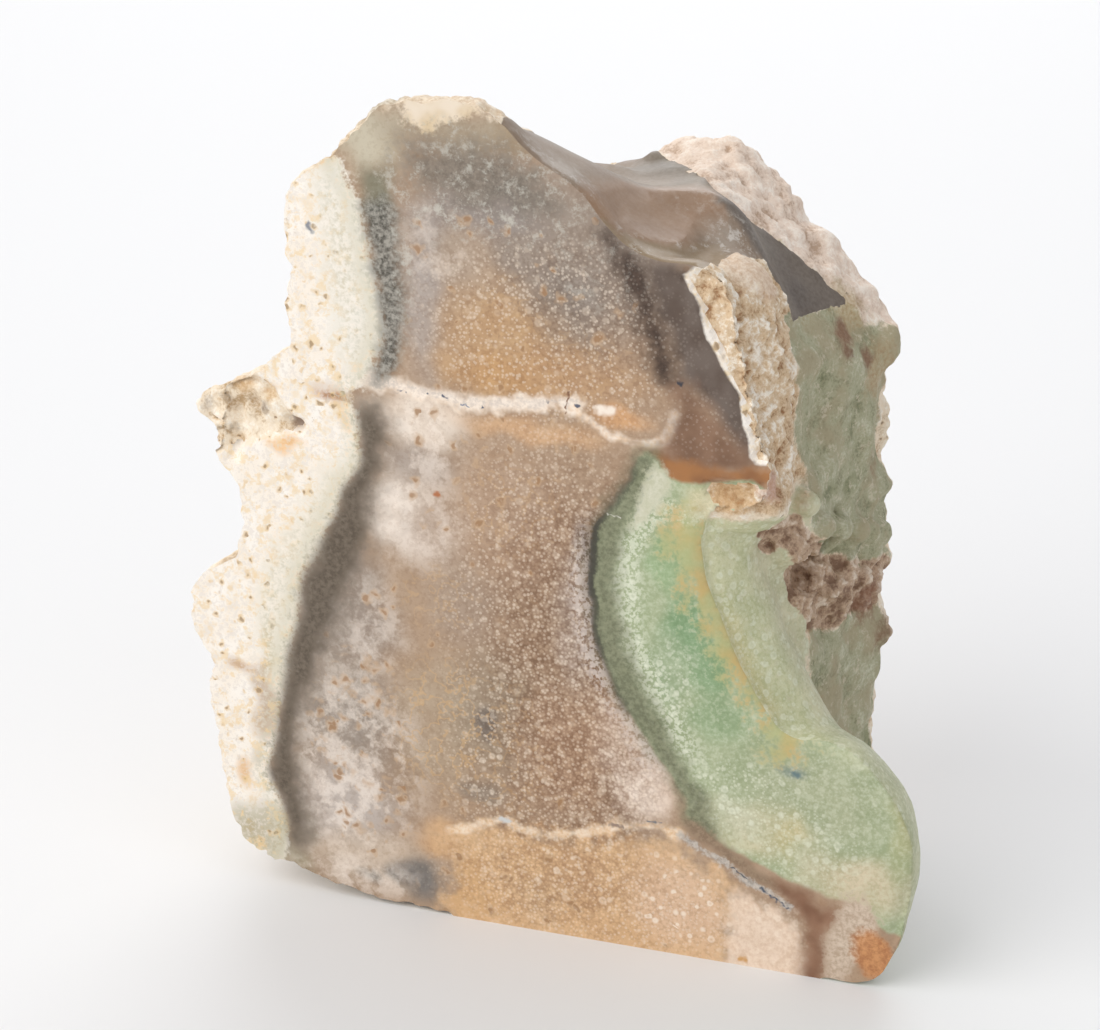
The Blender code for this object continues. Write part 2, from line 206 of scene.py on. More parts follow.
def shell_frame(shell):
    """The middle of a shell, the matrix of its turn and its radii."""
    _, middle, radii, turn, _ = shell
    spin = np.array(Euler([math.radians(angle) for angle in turn]).to_matrix())
    return np.array(middle), spin, np.array(radii) + TAKEN_OFF


def rings(places, impact):
    """Low ripples round the point of impact that grow weaker away from it."""
    away = np.linalg.norm(places - np.array(impact), axis=1)
    return RING_HEIGHT * np.sin(2 * math.pi * away / RING_SPACING + np.sin(away)) * np.exp(-away / 14)


def shell_depth(places, shell):
    """How deep each place lies inside a shell, in millimetres; negative outside."""
    middle, spin, radii = shell_frame(shell)
    inner = (places - middle) @ spin / radii
    return (1.0 - np.linalg.norm(inner, axis=1)) * radii.min()


def struck(places):
    """The places after all shells were struck off.  Twice, so that their ridges get sharp."""
    places = places.copy()
    for shell in SHELLS * 2:
        middle, spin, radii = shell_frame(shell)
        inner = (places - middle) @ spin / radii
        length = np.linalg.norm(inner, axis=1)
        inside = (length < 1.0) & (length > 0.5)
        ripple = 1.0 + rings(places[inside], shell[4]) / radii.min()
        outward = inner[inside] / length[inside, None] * ripple[:, None]
        places[inside] = middle + (outward * radii) @ spin.T
    return places


mesh = piece.data
move_to(mesh, struck(places_of(mesh)))
tell("shells struck")

# %% [markdown]
# ## Which surface is where
# Rind, crust, rough green stone, waxy green stone and glassy fractures each have their own
# grain.  Painting a mask for each by hand would not survive a change of the form.  They are worked
# out for every point instead, from its place and from the way it faces.  Each mask goes from
# 0 to 1 between two limits with an S-shaped step.

# %% The masks of the natural surfaces
def soft_step(value, start, end):
    """Goes smoothly from 0 at start to 1 at end."""
    share = np.clip((value - start) / (end - start), 0.0, 1.0)
    return share * share * (3.0 - 2.0 * share)


# Where the rim of crust begins behind the fracture, as x and y
RIM_EDGE = [
    (-6.0, 31.5), (0.0, 29.6), (4.0, 26.2), (6.6, 23.4), (8.8, 20.6), (10.6, 19.0), (12.6, 18.2),
    (13.8, 19.0), (15.4, 20.6), (18.7, 22.0), (21.6, 23.4), (23.3, 24.2), (26.0, 25.5),
]
RIDGE_Y = 13.6             # the sharp ridge between the large shell and the dark facet
FACET_FOOT = 65.2          # where the dark facet ends above the rough green side
BULGE = 1.6                # how far the fracture's left border swings out, and how far it wobbles


def uneven(places, size):
    """A smooth random number near -1 to 1 at each point, changing over about one size."""
    return np.array([noise.fractal(Vector(place), 1.0, 2.0, 3) for place in places / size])


def on_rim(places):
    """1 behind the line where the rim of crust begins."""
    x, y, _ = places.T
    edge_x, edge_y = np.array(RIM_EDGE).T
    return soft_step(y - np.interp(x, edge_x, edge_y), -0.2, 0.4)


def on_facet(places):
    """1 on the right of the sharp ridge."""
    x, y, _ = places.T
    return soft_step(y, RIDGE_Y - 0.3, RIDGE_Y + 0.2) * soft_step(x, 12.0, 13.0)


def on_fracture(places, facing):
    """The broken top between the high front edge and the rim, with the dark facet on its right."""
    x, y, z = places.T
    bulge = BULGE * np.sin(np.pi * np.clip(y / 30.0, 0.0, 1.0))
    bulge += BULGE * soft_step(y, 2.0, 9.0) * uneven(places, 6.0)
    top = soft_step(x - (-5.6 + 0.10 * y - bulge), 0.0, 1.2) * soft_step(z, 70.0, 72.5)
    corner = x - 0.25 * np.clip(y - 6.0, 0.0, 7.0)
    top *= soft_step(facing[:, 2], 0.25, 0.5) * (1.0 - soft_step(corner, 15.2, 16.2))
    facet = on_facet(places) * soft_step(z + 0.12 * (y - 14.0), FACET_FOOT, FACET_FOOT + 0.5)
    cream_foot = soft_step(corner, 15.4, 16.4) * (1.0 - soft_step(y, 12.0, 13.0))
    return np.maximum(top * (1.0 - cream_foot), facet) * (1.0 - on_rim(places))


# The upper and the lower border of the crevice, as y and z
SPLIT_TOP = [(1.5, 49.7), (3.5, 49.2), (10.1, 45.8), (12.1, 43.1), (20.4, 37.7), (24.8, 36.2), (30.0, 34.5)]
SPLIT_LOW = [(3.0, 47.6), (6.3, 44.7), (9.0, 41.6), (11.0, 36.5), (11.8, 31.9), (18.9, 30.5), (30.0, 30.0)]
# How far back the waxy flank and the strip of crust reach, as z and y
STRIP_BACK = [(46.0, 12.0), (56.0, 10.2), (66.0, 10.6), (70.0, 12.6), (73.0, 14.2)]


def line_at(line, values):
    """The second number of a line at each value of the first."""
    first, second = np.array(line).T
    return np.interp(values, first, second)


def kinds_of(places, facing):
    """How much of each kind of surface there is at each point."""
    x, y, z = places.T
    glass = on_fracture(places, facing)
    patch = soft_step(z + 0.48 * (x - 15.3), 72.6, 73.6) * soft_step(y, 3.0, 5.0)
    away = soft_step(y, 3.0, 8.0)
    y = y + 2.2 * away * uneven(places, 6.0)
    z = z + 1.4 * away * uneven(places + 50.0, 5.0)
    turned = soft_step(facing[:, 1], 0.3, 0.6) * soft_step(y, 24.0, 26.0)
    back = np.maximum(np.maximum(turned, soft_step(y, 28.5, 30.5)), on_rim(places) * soft_step(z, 60.0, 63.0))
    corner = soft_step(z, 66.0, 67.5) * (1.0 - soft_step(y, 15.0, 17.0))
    behind = soft_step(y - line_at(STRIP_BACK, z), -1.2, 1.2) * (1.0 - corner)
    right = soft_step(facing[:, 0], 0.0, 0.45) * soft_step(x, 8.0, 12.0) * (1.0 - back)
    right = np.maximum(right, soft_step(x, 11.0, 14.0) * (1.0 - soft_step(y, 24.0, 26.0)) * (z < 52.0))
    within = np.minimum(line_at(SPLIT_TOP, y) - z, z - line_at(SPLIT_LOW, y))
    split = right * soft_step(within, -0.9, 0.9) * soft_step(y, 3.0, 6.0)
    wax = (1.0 - behind) * soft_step(x, 9.0, 12.0) * (1.0 - soft_step(z, 47.5, 50.0)) * (1.0 - split)
    strip = right * (1.0 - behind) * soft_step(z, 48.5, 50.5)
    green = right * behind * (1.0 - split) * (1.0 - glass)
    rind = (1.0 - np.clip(right + glass + wax, 0.0, 1.0))
    rim = back * soft_step(z, 54.0, 60.0) * (1.0 - glass)
    return {
        "glass": glass,
        "wax": wax * (1.0 - glass),
        "split": split * (1.0 - glass),
        "strip": strip * (1.0 - glass) * (1.0 - patch),
        "rough_green": green,
        "rough_rind": np.maximum(rind, back * (1.0 - glass)) * (1.0 - 0.75 * rim),
        "rim": rim,
    }


# %% [markdown]
# ## The grain of each surface
# The surface moves in and out along the way it faces.  How far is the sum of a few patterns:
# round domes for the lumps of rind and crust, folded noise for the hackly green break, plain
# noise for the grain.  Each pattern counts only where its kind of surface is.  Finer grain
# than the mesh can hold is left to the materials.

# %% Patterns of the relief
def dome_height(place, size):
    """A field of round domes about one size across, 1 at their tops and 0 between them."""
    nearest = noise.voronoi(place / size)[0][0]
    return max(0.0, 1.0 - 1.7 * nearest * nearest)


def rind_relief(place):
    """Large and small round lumps with grain over them."""
    grain = noise.fractal(place / 1.1, 1.0, 2.0, 3)
    return 0.34 * dome_height(place, 3.1) + 0.26 * dome_height(place, 1.3) + 0.26 * grain - 0.33


def sugary_relief(place):
    """Small crystals over low lumps, as on the crust of the right side."""
    grain = noise.fractal(place / 0.75, 0.8, 2.1, 3)
    return 0.30 * dome_height(place, 2.3) + 0.30 * dome_height(place, 0.95) + 0.34 * grain - 0.30


def green_relief(place):
    """Hackly break: steep folds that run down the side, with grain on them."""
    folds = noise.ridged_multi_fractal(Vector((place.x, place.y, 0.7 * place.z)) / 5.0, 0.9, 2.1, 4, 1.0, 2.0)
    return 0.15 * (folds - 1.5) + 0.11 * noise.fractal(place / 1.4, 0.9, 2.0, 3)


def split_relief(place):
    """Torn crust in the crevice: deep folds, lumps and sharp grains."""
    folds = noise.ridged_multi_fractal(place / 3.4, 0.8, 2.2, 4, 1.0, 2.0)
    grain = noise.fractal(place / 0.8, 0.7, 2.1, 3)
    return 0.38 * (folds - 1.5) + 0.34 * dome_height(place, 1.4) + 0.40 * grain - 0.20


def rim_relief(place):
    """Wrinkles that run down the rim at the back, with knots between them."""
    across = Vector((0.8 * place.x + 0.5 * place.z, 0.9 * place.y, 0.45 * place.z - 0.3 * place.x))
    wrinkles = noise.fractal(across * 0.62, 0.9, 2.2, 3)
    grain = noise.fractal(place / 0.8, 0.8, 2.0, 2)
    return 0.42 * wrinkles + 0.22 * dome_height(place, 1.5) + 0.16 * grain - 0.12


def wax_relief(place):
    """Hardly any relief: slow waves and a little unevenness."""
    return 0.22 * noise.noise(place / 4.5) + 0.05 * noise.noise(place / 1.3)


RELIEFS = {
    "rough_rind": rind_relief, "strip": sugary_relief, "rim": rim_relief,
    "rough_green": green_relief, "split": split_relief, "wax": wax_relief,
}


def relief_heights(places, kinds):
    """How far each point moves out, in millimetres."""
    heights = np.zeros(len(places))
    for kind, relief in RELIEFS.items():
        here = np.nonzero(kinds[kind] > 0.01)[0]
        found = [relief(Vector(places[point])) for point in here]
        heights[here] += kinds[kind][here] * np.array(found)
    return heights


def add_values(mesh, name, values):
    """Keeps one number for each point of the mesh, for the materials to read."""
    layer = mesh.attributes.get(name) or mesh.attributes.new(name, "FLOAT", "POINT")
    layer.data.foreach_set("value", np.asarray(values, np.float32))


# The left side of the sawn face from below, as z and x
RIND_PROFILE = [
    (3.3, -31.0), (3.7, -33.5), (4.9, -35.0), (7.4, -36.0), (9.6, -36.4), (12.4, -37.1), (18.7, -37.9),
    (22.4, -38.4), (24.4, -38.0), (25.4, -37.4), (26.4, -38.6), (29.0, -40.0), (33.0, -40.2), (35.3, -38.6),
    (36.7, -36.6), (37.6, -35.0), (39.2, -34.6), (41.9, -33.9), (45.1, -34.1), (46.0, -35.0), (47.0, -35.5),
    (48.0, -36.5), (49.0, -37.0), (50.0, -36.5), (50.6, -35.6), (51.2, -37.0), (52.5, -38.2), (54.5, -38.3),
    (56.0, -37.5), (56.6, -36.0), (57.2, -34.0), (58.5, -31.5), (60.0, -30.5), (61.0, -28.8), (62.0, -28.0),
    (64.0, -28.2), (66.0, -28.6), (67.0, -28.3), (70.0, -27.9), (71.0, -28.3), (74.0, -28.5), (78.0, -28.0),
    (80.2, -26.5), (82.2, -23.5),
]
PROFILE_STEP = 0.5
LARGEST_SHIFT = 1.6


def follow_profile(places):
    """Shifts the stone's left side so that the sawn face ends where the profile says."""
    x, y, z = places.T
    heights = np.arange(4.0, 82.0, PROFILE_STEP)
    front = (y < 0.8) & (x < -15.0)
    ends = np.array([x[front & (np.abs(z - height) < PROFILE_STEP)].min() for height in heights])
    shift = np.interp(z, heights, line_at(RIND_PROFILE, heights) - ends)
    shift *= soft_step(z, 3.0, 5.0) * (1.0 - soft_step(z, 80.5, 82.5))
    near_side = 1.0 - soft_step(x - np.interp(z, heights, ends), 1.0, 9.0)
    places[:, 0] += np.clip(shift, -LARGEST_SHIFT, LARGEST_SHIFT) * near_side * (1.0 - soft_step(y, 2.0, 9.0))
    return places


places = places_of(mesh)
facing = normals_of(mesh)
kinds = kinds_of(places, facing)
lift = relief_heights(places, kinds)
move_to(mesh, follow_profile(places + facing * lift[:, None]))
add_values(mesh, "lift", lift)
tell("relief on", len(places), "points")

# %% [markdown]
# ## Fewer faces where the stone is smooth
# The even mesh spends as many faces on a smooth shell as on rough crust.  Decimate removes
# edges where that changes the form least, so what is left of the budget goes to the rough
# places.

# %% Decimating
SIDE_TRIANGLES = 200_000
fewer = piece.modifiers.new("fewer faces", "DECIMATE")
fewer.ratio = min(1.0, SIDE_TRIANGLES / (2 * len(mesh.polygons)))
bake_modifiers(piece)
mesh = piece.data
tell(len(mesh.polygons), "faces")

for name, values in kinds_of(places_of(mesh), normals_of(mesh)).items():
    add_values(mesh, name, values)

# %% [markdown]
# ## Sawing
# One cut takes the spare stone off in front and one below.  Each leaves an open outline.
# The sawn face is then filled with a net of small triangles and not with one large face,
# because the painted places are stored in its points.  A Delaunay net through a grid of
# points and the outline gives even triangles that end exactly on the rough edge.

# %% The two cuts and the net of the sawn face
NET = 0.50


def saw(shape, place, outward):
    """Cuts off what lies outward of a flat cut, and returns the edges of the cut."""
    everything = shape.verts[:] + shape.edges[:] + shape.faces[:]
    cut = bmesh.ops.bisect_plane(shape, geom=everything, plane_co=place, plane_no=outward,
                                 clear_outer=True, dist=1e-8)
    return [item for item in cut["geom_cut"] if isinstance(item, bmesh.types.BMEdge)]


def settle(shape, axis, level):
    """Puts the points that a cut left a hair off its plane exactly on it."""
    for point in shape.verts:
        if abs(point.co[axis] - level) < 1e-7:
            point.co[axis] = level


def net_points(corners):
    """Points of a triangular grid over the box of some corners in the sawn plane."""
    (x_low, z_low), (x_high, z_high) = corners.min(axis=0), corners.max(axis=0)
    step = NET * MM
    # half a step up, so that no point lies on the flat spot's edge
    rows = np.arange(z_low + 0.5 * step, z_high, step * math.sqrt(3) / 2)
    found = []
    for number, z in enumerate(rows):
        across = np.arange(x_low + number % 2 * step / 2, x_high, step)
        found.append(np.stack([across, np.full(len(across), z)], axis=1))
    return np.concatenate(found)


def is_stray(face):
    """True for a face that no face shares an edge with, but for its own double."""
    beside = {other for edge in face.edges for other in edge.link_faces}
    return all(set(other.verts) == set(face.verts) for other in beside)


def fill_with_net(shape, edges):
    """Fills the outline of the sawn face with small triangles that share its points."""
    rim = sorted({point for edge in edges for point in edge.verts}, key=lambda point: point.index)
    number = {point: place for place, point in enumerate(rim)}
    corners = np.array([(point.co.x, point.co.z) for point in rim])
    flat = [Vector(corner) for corner in np.concatenate([corners, net_points(corners)])]
    links = [(number[edge.verts[0]], number[edge.verts[1]]) for edge in edges]
    spots, _, triangles, origins, _, _ = geometry.delaunay_2d_cdt(flat, links, [], 1, 1e-7)
    used = {corner for triangle in triangles for corner in triangle}
    points = {}
    for spot in used:
        own = [origin for origin in origins[spot] if origin < len(rim)]
        if own:
            points[spot] = rim[own[0]]
        else:
            points[spot] = shape.verts.new((spots[spot].x, low.y, spots[spot].y))
    made = []
    for triangle in triangles:
        made.append(shape.faces.new([points[corner] for corner in triangle]))
    return made


cut_stone = bmesh.new()
cut_stone.from_mesh(mesh)
bottom_edges = saw(cut_stone, (0.0, 0.0, low.z), (0.0, 0.0, -1.0))
settle(cut_stone, 2, low.z)
bottom = bmesh.ops.triangle_fill(cut_stone, use_beauty=True, edges=bottom_edges)["geom"]
bottom = [item for item in bottom if isinstance(item, bmesh.types.BMFace)]
front_edges = saw(cut_stone, (0.0, low.y, 0.0), (0.0, -1.0, 0.0))
settle(cut_stone, 1, low.y)
settle(cut_stone, 2, low.z)
cut_stone.verts.index_update()
front = fill_with_net(cut_stone, front_edges)
tell("sawn face", len(front), "triangles")
for face in cut_stone.faces:
    face.smooth = True
for face in front:
    face.material_index = 1
    face.smooth = False
bmesh.ops.delete(cut_stone, geom=[face for face in cut_stone.faces if is_stray(face)], context="FACES")
bmesh.ops.triangulate(cut_stone, faces=cut_stone.faces)
bmesh.ops.recalc_face_normals(cut_stone, faces=cut_stone.faces)
cut_stone.to_mesh(mesh)
cut_stone.free()
mesh.validate()            # drops any face that is there twice
mesh.update()

# %% [markdown]
# ## A map of the sawn face
# A saw cut through agate is a map: every zone has its own outline.  An image of the face
# would be the quick way, but it has a fixed sharpness and can't be changed.  Here each zone is
# an outline of a few points on the ruler.  For every point of the net it is worked out how deep
# inside the outline the point lies.  That depth changes evenly across an edge, so the material
# can make the edge as sharp or as ragged as the stone has it.

# %% How deep a place lies inside an outline
def rounded(outline):
    """The outline with its corners cut off twice, because no zone in agate has a corner."""
    points = np.array(outline, float)
    for _ in range(2):
        after = np.roll(points, -1, axis=0)
        points = np.stack([0.75 * points + 0.25 * after, 0.25 * points + 0.75 * after], axis=1)
        points = points.reshape(-1, 2)
    return points


def gap_to(start, end, u, v):
    """The distance of each place from a straight line between two points."""
    along_u, along_v = end[0] - start[0], end[1] - start[1]
    share = ((u - start[0]) * along_u + (v - start[1]) * along_v) / (along_u ** 2 + along_v ** 2)
    share = np.clip(share, 0.0, 1.0)
    return np.hypot(u - start[0] - share * along_u, v - start[1] - share * along_v)


def depth_in(outline, u, v):
    """How deep each place lies inside an outline, in millimetres; negative outside."""
    corners = rounded(outline)
    nearest = np.full(len(u), 1e6)
    crossed = np.zeros(len(u), int)
    for start, end in zip(corners, np.roll(corners, -1, axis=0)):
        nearest = np.minimum(nearest, gap_to(start, end, u, v))
        spans = (start[1] > v) != (end[1] > v)
        rise = end[1] - start[1] if abs(end[1] - start[1]) > 1e-9 else 1e-9
        crossed += spans & (u < start[0] + (v - start[1]) / rise * (end[0] - start[0]))
    return np.where(crossed % 2 == 1, nearest, -nearest)


def depth_in_line(line, half_width, u, v):
    """The same for a band of even width along an open line."""
    gaps = [gap_to(np.array(start), np.array(end), u, v) for start, end in zip(line, line[1:])]
    return half_width - np.min(gaps, axis=0)


square = [(0.0, 0.0), (10.0, 0.0), (10.0, 10.0), (0.0, 10.0)]
print("the middle of a 10 mm square lies", depth_in(square, np.array([5.0]), np.array([5.0]))[0], "mm deep")

# %% [markdown]
# ## The outlines
# From left to right: the cream rind, the dark band along it, the tan agate in the middle, the
# smoky wedge with the crust at its right, and the green zone with its olive rim at the lower
# right.  Two pale seams cross the stone.

# %% Outlines of the zones, as x and z on the ruler
BAND_LEFT = [
    (-29.3, 5.9), (-29.9, 8.1), (-30.0, 10.4), (-31.2, 12.2), (-31.6, 13.9), (-30.7, 16.0),
    (-30.3, 20.3), (-29.5, 23.5), (-28.8, 28.0), (-27.8, 32.0), (-27.5, 34.3), (-26.8, 36.3),
    (-25.7, 38.8), (-24.7, 41.0), (-24.3, 43.0), (-22.9, 45.1), (-21.1, 48.8), (-20.2, 52.0),
    (-20.6, 55.6),
]
BAND_RIGHT = [
    (-18.2, 55.5), (-17.9, 52.6), (-18.7, 50.7), (-19.3, 48.0), (-19.7, 45.9), (-19.8, 43.4),
    (-20.2, 41.4), (-20.8, 39.4), (-21.6, 37.4), (-23.2, 34.3), (-23.8, 31.8),
    (-24.6, 30.3), (-25.3, 28.4), (-26.3, 26.3), (-27.4, 22.4), (-28.4, 20.1), (-28.8, 18.2),
    (-29.1, 15.8), (-28.4, 14.5), (-28.1, 12.0), (-27.6, 8.6), (-28.2, 5.6),
]
BAND_TOP_LEFT = [
    (-20.3, 78.0), (-19.5, 75.6), (-19.1, 73.0), (-18.8, 70.0), (-18.1, 67.5),
    (-17.8, 65.0), (-18.0, 63.0), (-18.6, 61.0), (-19.6, 58.8),
]
BAND_TOP_RIGHT = [
    (-18.2, 58.6), (-16.8, 60.0), (-15.8, 62.0), (-15.4, 64.5), (-15.3, 67.0), (-15.6, 70.0),
    (-15.9, 73.0), (-16.0, 75.6), (-16.6, 78.4),
]
CREAM_EDGE_TOP = [
    (-22.6, 82.6), (-25.4, 81.0), (-24.8, 78.0), (-24.4, 75.0), (-24.1, 70.0), (-23.6, 66.0),
    (-22.8, 62.0), (-21.4, 59.4),
]
CREAM_EDGE_LOW = [
    (-21.5, 51.5), (-23.8, 49.0), (-25.8, 47.0), (-27.6, 43.0), (-29.6, 40.0), (-31.2, 37.4),
    (-32.4, 33.0), (-32.6, 29.0), (-31.6, 26.0), (-30.6, 23.0),
]
GREEN_RIM = [
    (11.2, 55.0), (9.4, 55.1), (8.1, 51.4), (6.55, 49.0), (5.1, 46.3), (4.6, 44.0), (4.5, 40.7),
    (4.6, 38.0), (4.85, 35.3), (5.4, 32.7), (6.5, 30.4), (7.6, 28.4), (8.9, 26.1), (10.2, 24.1),
    (11.55, 21.8), (13.0, 20.3), (14.5, 18.8), (15.0, 17.2), (15.2, 15.4),
]
GREEN_RIM_INNER = [
    (18.2, 14.1), (17.2, 15.8), (16.6, 17.7), (15.8, 19.3), (14.2, 21.5), (12.6, 24.2),
    (11.0, 26.7), (9.7, 29.8), (8.65, 32.1), (7.6, 34.7), (7.1, 37.3), (6.8, 40.0), (6.95, 44.1),
    (7.6, 46.7), (8.9, 49.0), (10.2, 52.0),
]
WEDGE_LEFT = [
    (9.5, 74.8), (10.6, 72.7), (10.8, 70.9), (11.6, 68.7), (12.4, 66.7), (12.9, 64.9), (13.2, 62.9),
    (15.2, 62.0), (16.8, 60.0), (18.4, 57.8), (20.4, 55.4),
]
WEDGE_RIGHT = [
    (20.9, 55.2), (20.5, 57.8), (20.1, 59.1), (19.9, 60.6), (19.4, 62.1), (18.4, 63.5), (17.8, 65.0),
    (16.9, 66.5), (16.3, 67.5), (15.6, 68.7), (15.3, 70.0), (14.9, 71.6), (14.2, 72.6),
    (13.2, 73.6), (10.8, 74.6),
]
UPPER_SEAM = [
    (-19.0, 59.0), (-13.5, 58.4), (-9.0, 57.9), (-5.0, 58.1), (-2.4, 58.5), (0.0, 59.0), (3.0, 59.1),
]
SEAM_BRANCH = [
    (2.8, 58.6), (3.6, 57.9), (4.9, 57.1), (6.4, 56.2), (8.25, 55.8), (10.3, 55.8), (11.9, 56.4),
    (12.6, 57.5), (13.2, 59.3),
]
LOWER_SEAM = [
    (-11.0, 10.0), (-8.5, 11.0), (-6.4, 11.9), (-5.0, 12.4), (-3.9, 11.8), (-1.9, 11.4), (-0.3, 11.2),
    (1.6, 11.7), (5.0, 12.6), (9.1, 14.1), (11.8, 14.3), (14.0, 13.4),
]
BLUE_SEAM = [
    (14.2, 13.5), (16.1, 12.7), (17.7, 12.0), (19.3, 10.9), (21.2, 9.9), (22.6, 9.2), (24.2, 8.4),
    (25.8, 7.5),
]
OCHRE_STREAK = [
    (14.2, 47.2), (15.2, 44.0), (16.8, 40.6), (18.6, 37.0), (20.3, 34.2), (22.1, 31.4), (25.2, 26.2),
]

OUTLINES = {
    "rind": BAND_LEFT + [(-21.8, 57.2)] + BAND_TOP_LEFT[::-1] + [
        (-21.8, 80.6), (-23.8, 83.6), (-46.0, 90.0), (-46.0, 0.0), (-31.0, 1.0),
    ],
    "pale_margin": CREAM_EDGE_TOP + BAND_TOP_LEFT[:0:-1],
    "pale_margin_low": CREAM_EDGE_LOW + BAND_LEFT[7:19],
    "dark_band": BAND_LEFT + BAND_RIGHT,
    "black_band": BAND_TOP_LEFT + BAND_TOP_RIGHT,
    "dark_arch": [
        (-17.0, 83.2), (-14.6, 80.6), (-12.0, 79.6), (-8.0, 79.0), (-3.0, 78.2), (0.0, 78.6), (0.6, 80.6),
        (-2.0, 83.0), (-6.0, 85.0), (-10.0, 84.8), (-14.0, 84.2),
    ],
    "cap": [
        (-19.0, 92.0), (-17.6, 88.8), (-15.6, 87.6), (-14.6, 85.9), (-12.2, 85.6), (-10.6, 87.0),
        (-9.0, 87.6), (-7.0, 88.0), (-5.6, 87.4), (-4.0, 92.0),
    ],
    "brown_edge": [
        (5.0, 78.6), (6.0, 75.1), (7.0, 72.6), (8.2, 70.3), (9.3, 68.2), (9.9, 65.9), (10.6, 63.8),
        (11.3, 62.3), (13.2, 62.4), (13.1, 64.9), (12.6, 66.7), (11.8, 68.7), (11.0, 70.9),
        (10.8, 72.7), (9.6, 74.6), (7.6, 76.4),
    ],
    "wedge": WEDGE_LEFT + [(23.0, 55.4), (22.0, 62.0), (19.0, 68.0), (16.0, 73.6), (12.0, 75.6)],
    "white_edge": WEDGE_RIGHT[:-1][::-1] + [
        (23.0, 55.0), (26.0, 60.0), (22.0, 74.0), (16.4, 75.6), (14.0, 74.2),
    ],
    "purple": [
        (12.6, 62.2), (14.8, 62.4), (16.6, 60.2), (18.5, 57.9), (21.2, 56.4), (21.0, 53.6), (16.0, 53.2),
        (11.0, 53.8), (12.2, 57.0), (13.6, 59.6),
    ],
    "amber": [
        (9.5, 55.2), (12.4, 55.0), (14.7, 54.6), (17.3, 54.2), (19.9, 54.6), (23.5, 55.2), (24.5, 53.8),
        (22.0, 53.2), (19.9, 53.1), (16.5, 52.6), (14.7, 51.8), (12.6, 51.9), (11.6, 53.0),
    ],
    "green": GREEN_RIM + [
        (18.8, 13.4), (22.0, 12.0), (25.8, 10.7), (28.0, 10.0), (31.4, 9.2), (33.5, 9.5), (36.0, 6.0),
        (46.0, 6.0), (46.0, 30.0), (30.0, 30.0), (24.0, 54.0), (16.0, 52.6), (13.0, 52.2),
    ],
    "green_rim": GREEN_RIM + GREEN_RIM_INNER,
    "white_finger": [
        (10.3, 53.4), (11.2, 54.2), (12.8, 53.4), (12.9, 51.4), (11.4, 49.6), (9.6, 46.6),
        (8.2, 47.0), (9.4, 50.0),
    ],
    "bottom": [
        (-11.4, -4.0), (-11.8, 1.6), (-10.6, 5.4), (-12.6, 8.4), (-10.4, 10.4), (-6.4, 11.5), (-3.9, 11.6),
        (-1.1, 11.0), (3.0, 11.8), (9.1, 13.4), (13.0, 12.6), (15.0, 11.6), (18.0, 9.8), (20.0, 8.0),
        (21.0, 6.0), (19.5, 3.0), (19.5, -4.0),
    ],
    "cream_foot": [
        (19.4, 8.2), (21.6, 8.4), (24.0, 7.0), (26.6, 6.0), (27.6, 4.0), (27.6, -3.0),
        (19.0, -3.0), (19.6, 3.0),
    ],
    "dark_seam": [
        (15.2, 15.8), (17.8, 14.4), (20.1, 12.4), (22.0, 11.9), (23.1, 10.7), (25.0, 10.4), (25.4, 8.6),
        (23.1, 9.3), (21.7, 10.2), (19.6, 11.1), (17.4, 12.6), (15.0, 13.4),
    ],
    "red_brown": [
        (23.6, 10.6), (25.8, 10.2), (27.7, 9.7), (28.5, 8.7), (30.9, 8.5), (31.1, 6.9), (30.3, 5.3),
        (29.7, 3.2), (29.5, -2.0), (27.0, -2.0), (27.6, 2.9), (27.6, 5.8), (26.9, 7.0), (25.4, 8.1),
    ],
    "white_corner": [
        (30.6, 9.0), (33.0, 10.2), (35.2, 8.4), (34.8, 5.0), (33.0, 3.0), (32.0, 0.0), (30.0, -2.0),
        (29.6, 3.0), (30.3, 5.5), (31.0, 7.0),
    ],
    "rust_spot": [
        (32.6, 5.4), (33.6, 6.4), (35.6, 6.0), (37.4, 4.0), (37.4, 1.4), (35.6, 0.8),
        (33.8, 1.6), (32.8, 3.4),
    ],
}
# Line and half its width
LINES = {
    "upper_seam": (UPPER_SEAM, 0.75),
    "seam_dots": ([(x, z + 0.1) for x, z in UPPER_SEAM], 0.42),
    "seam_branch": (SEAM_BRANCH, 0.45),
    "lower_seam": (LOWER_SEAM, 0.42),
    "blue_seam": (BLUE_SEAM, 0.34),
    "ochre_streak": (OCHRE_STREAK, 2.0),
}
print(len(OUTLINES), "outlines and", len(LINES), "seams")

# %% [markdown]
# ## The places that the saw missed
# The knob on the left lies a little lower than the sawn plane, and so do the crust beside the
# wedge and the sugary patch under it.  The points of the net there are pushed into the stone
# and get the grain of their kind of surface.  Grooves part the knob from the rest.  The edge
# between the sawn face and the waxy flank is worn round.

# %% Roughening parts of the sawn face
KNOB = [
    (-42.0, 58.5), (-36.0, 59.0), (-31.0, 58.2), (-29.2, 56.4), (-28.0, 54.4), (-26.0, 53.6),
    (-26.4, 52.4), (-28.6, 51.6), (-33.5, 49.8), (-38.0, 47.5), (-42.0, 49.0),
]
SUGARY_PATCH = [
    (15.6, 52.9), (18.0, 53.4), (23.4, 53.6), (23.4, 50.0), (20.0, 49.6), (17.0, 49.8), (15.8, 51.2),
]
# Outline, kind of surface, how far it lies behind the sawn plane
ROUGH_PLACES = [
    (KNOB, "rough_rind", 0.45),
    (OUTLINES["white_edge"], "strip", 0.5),
    (SUGARY_PATCH, "strip", 0.4),
]
LUMP_TOP = 0.35            # a lump this high lies just as far behind as its place does
NATURAL_FROM = 0.35        # this deep inside a missed place a face takes the natural finish
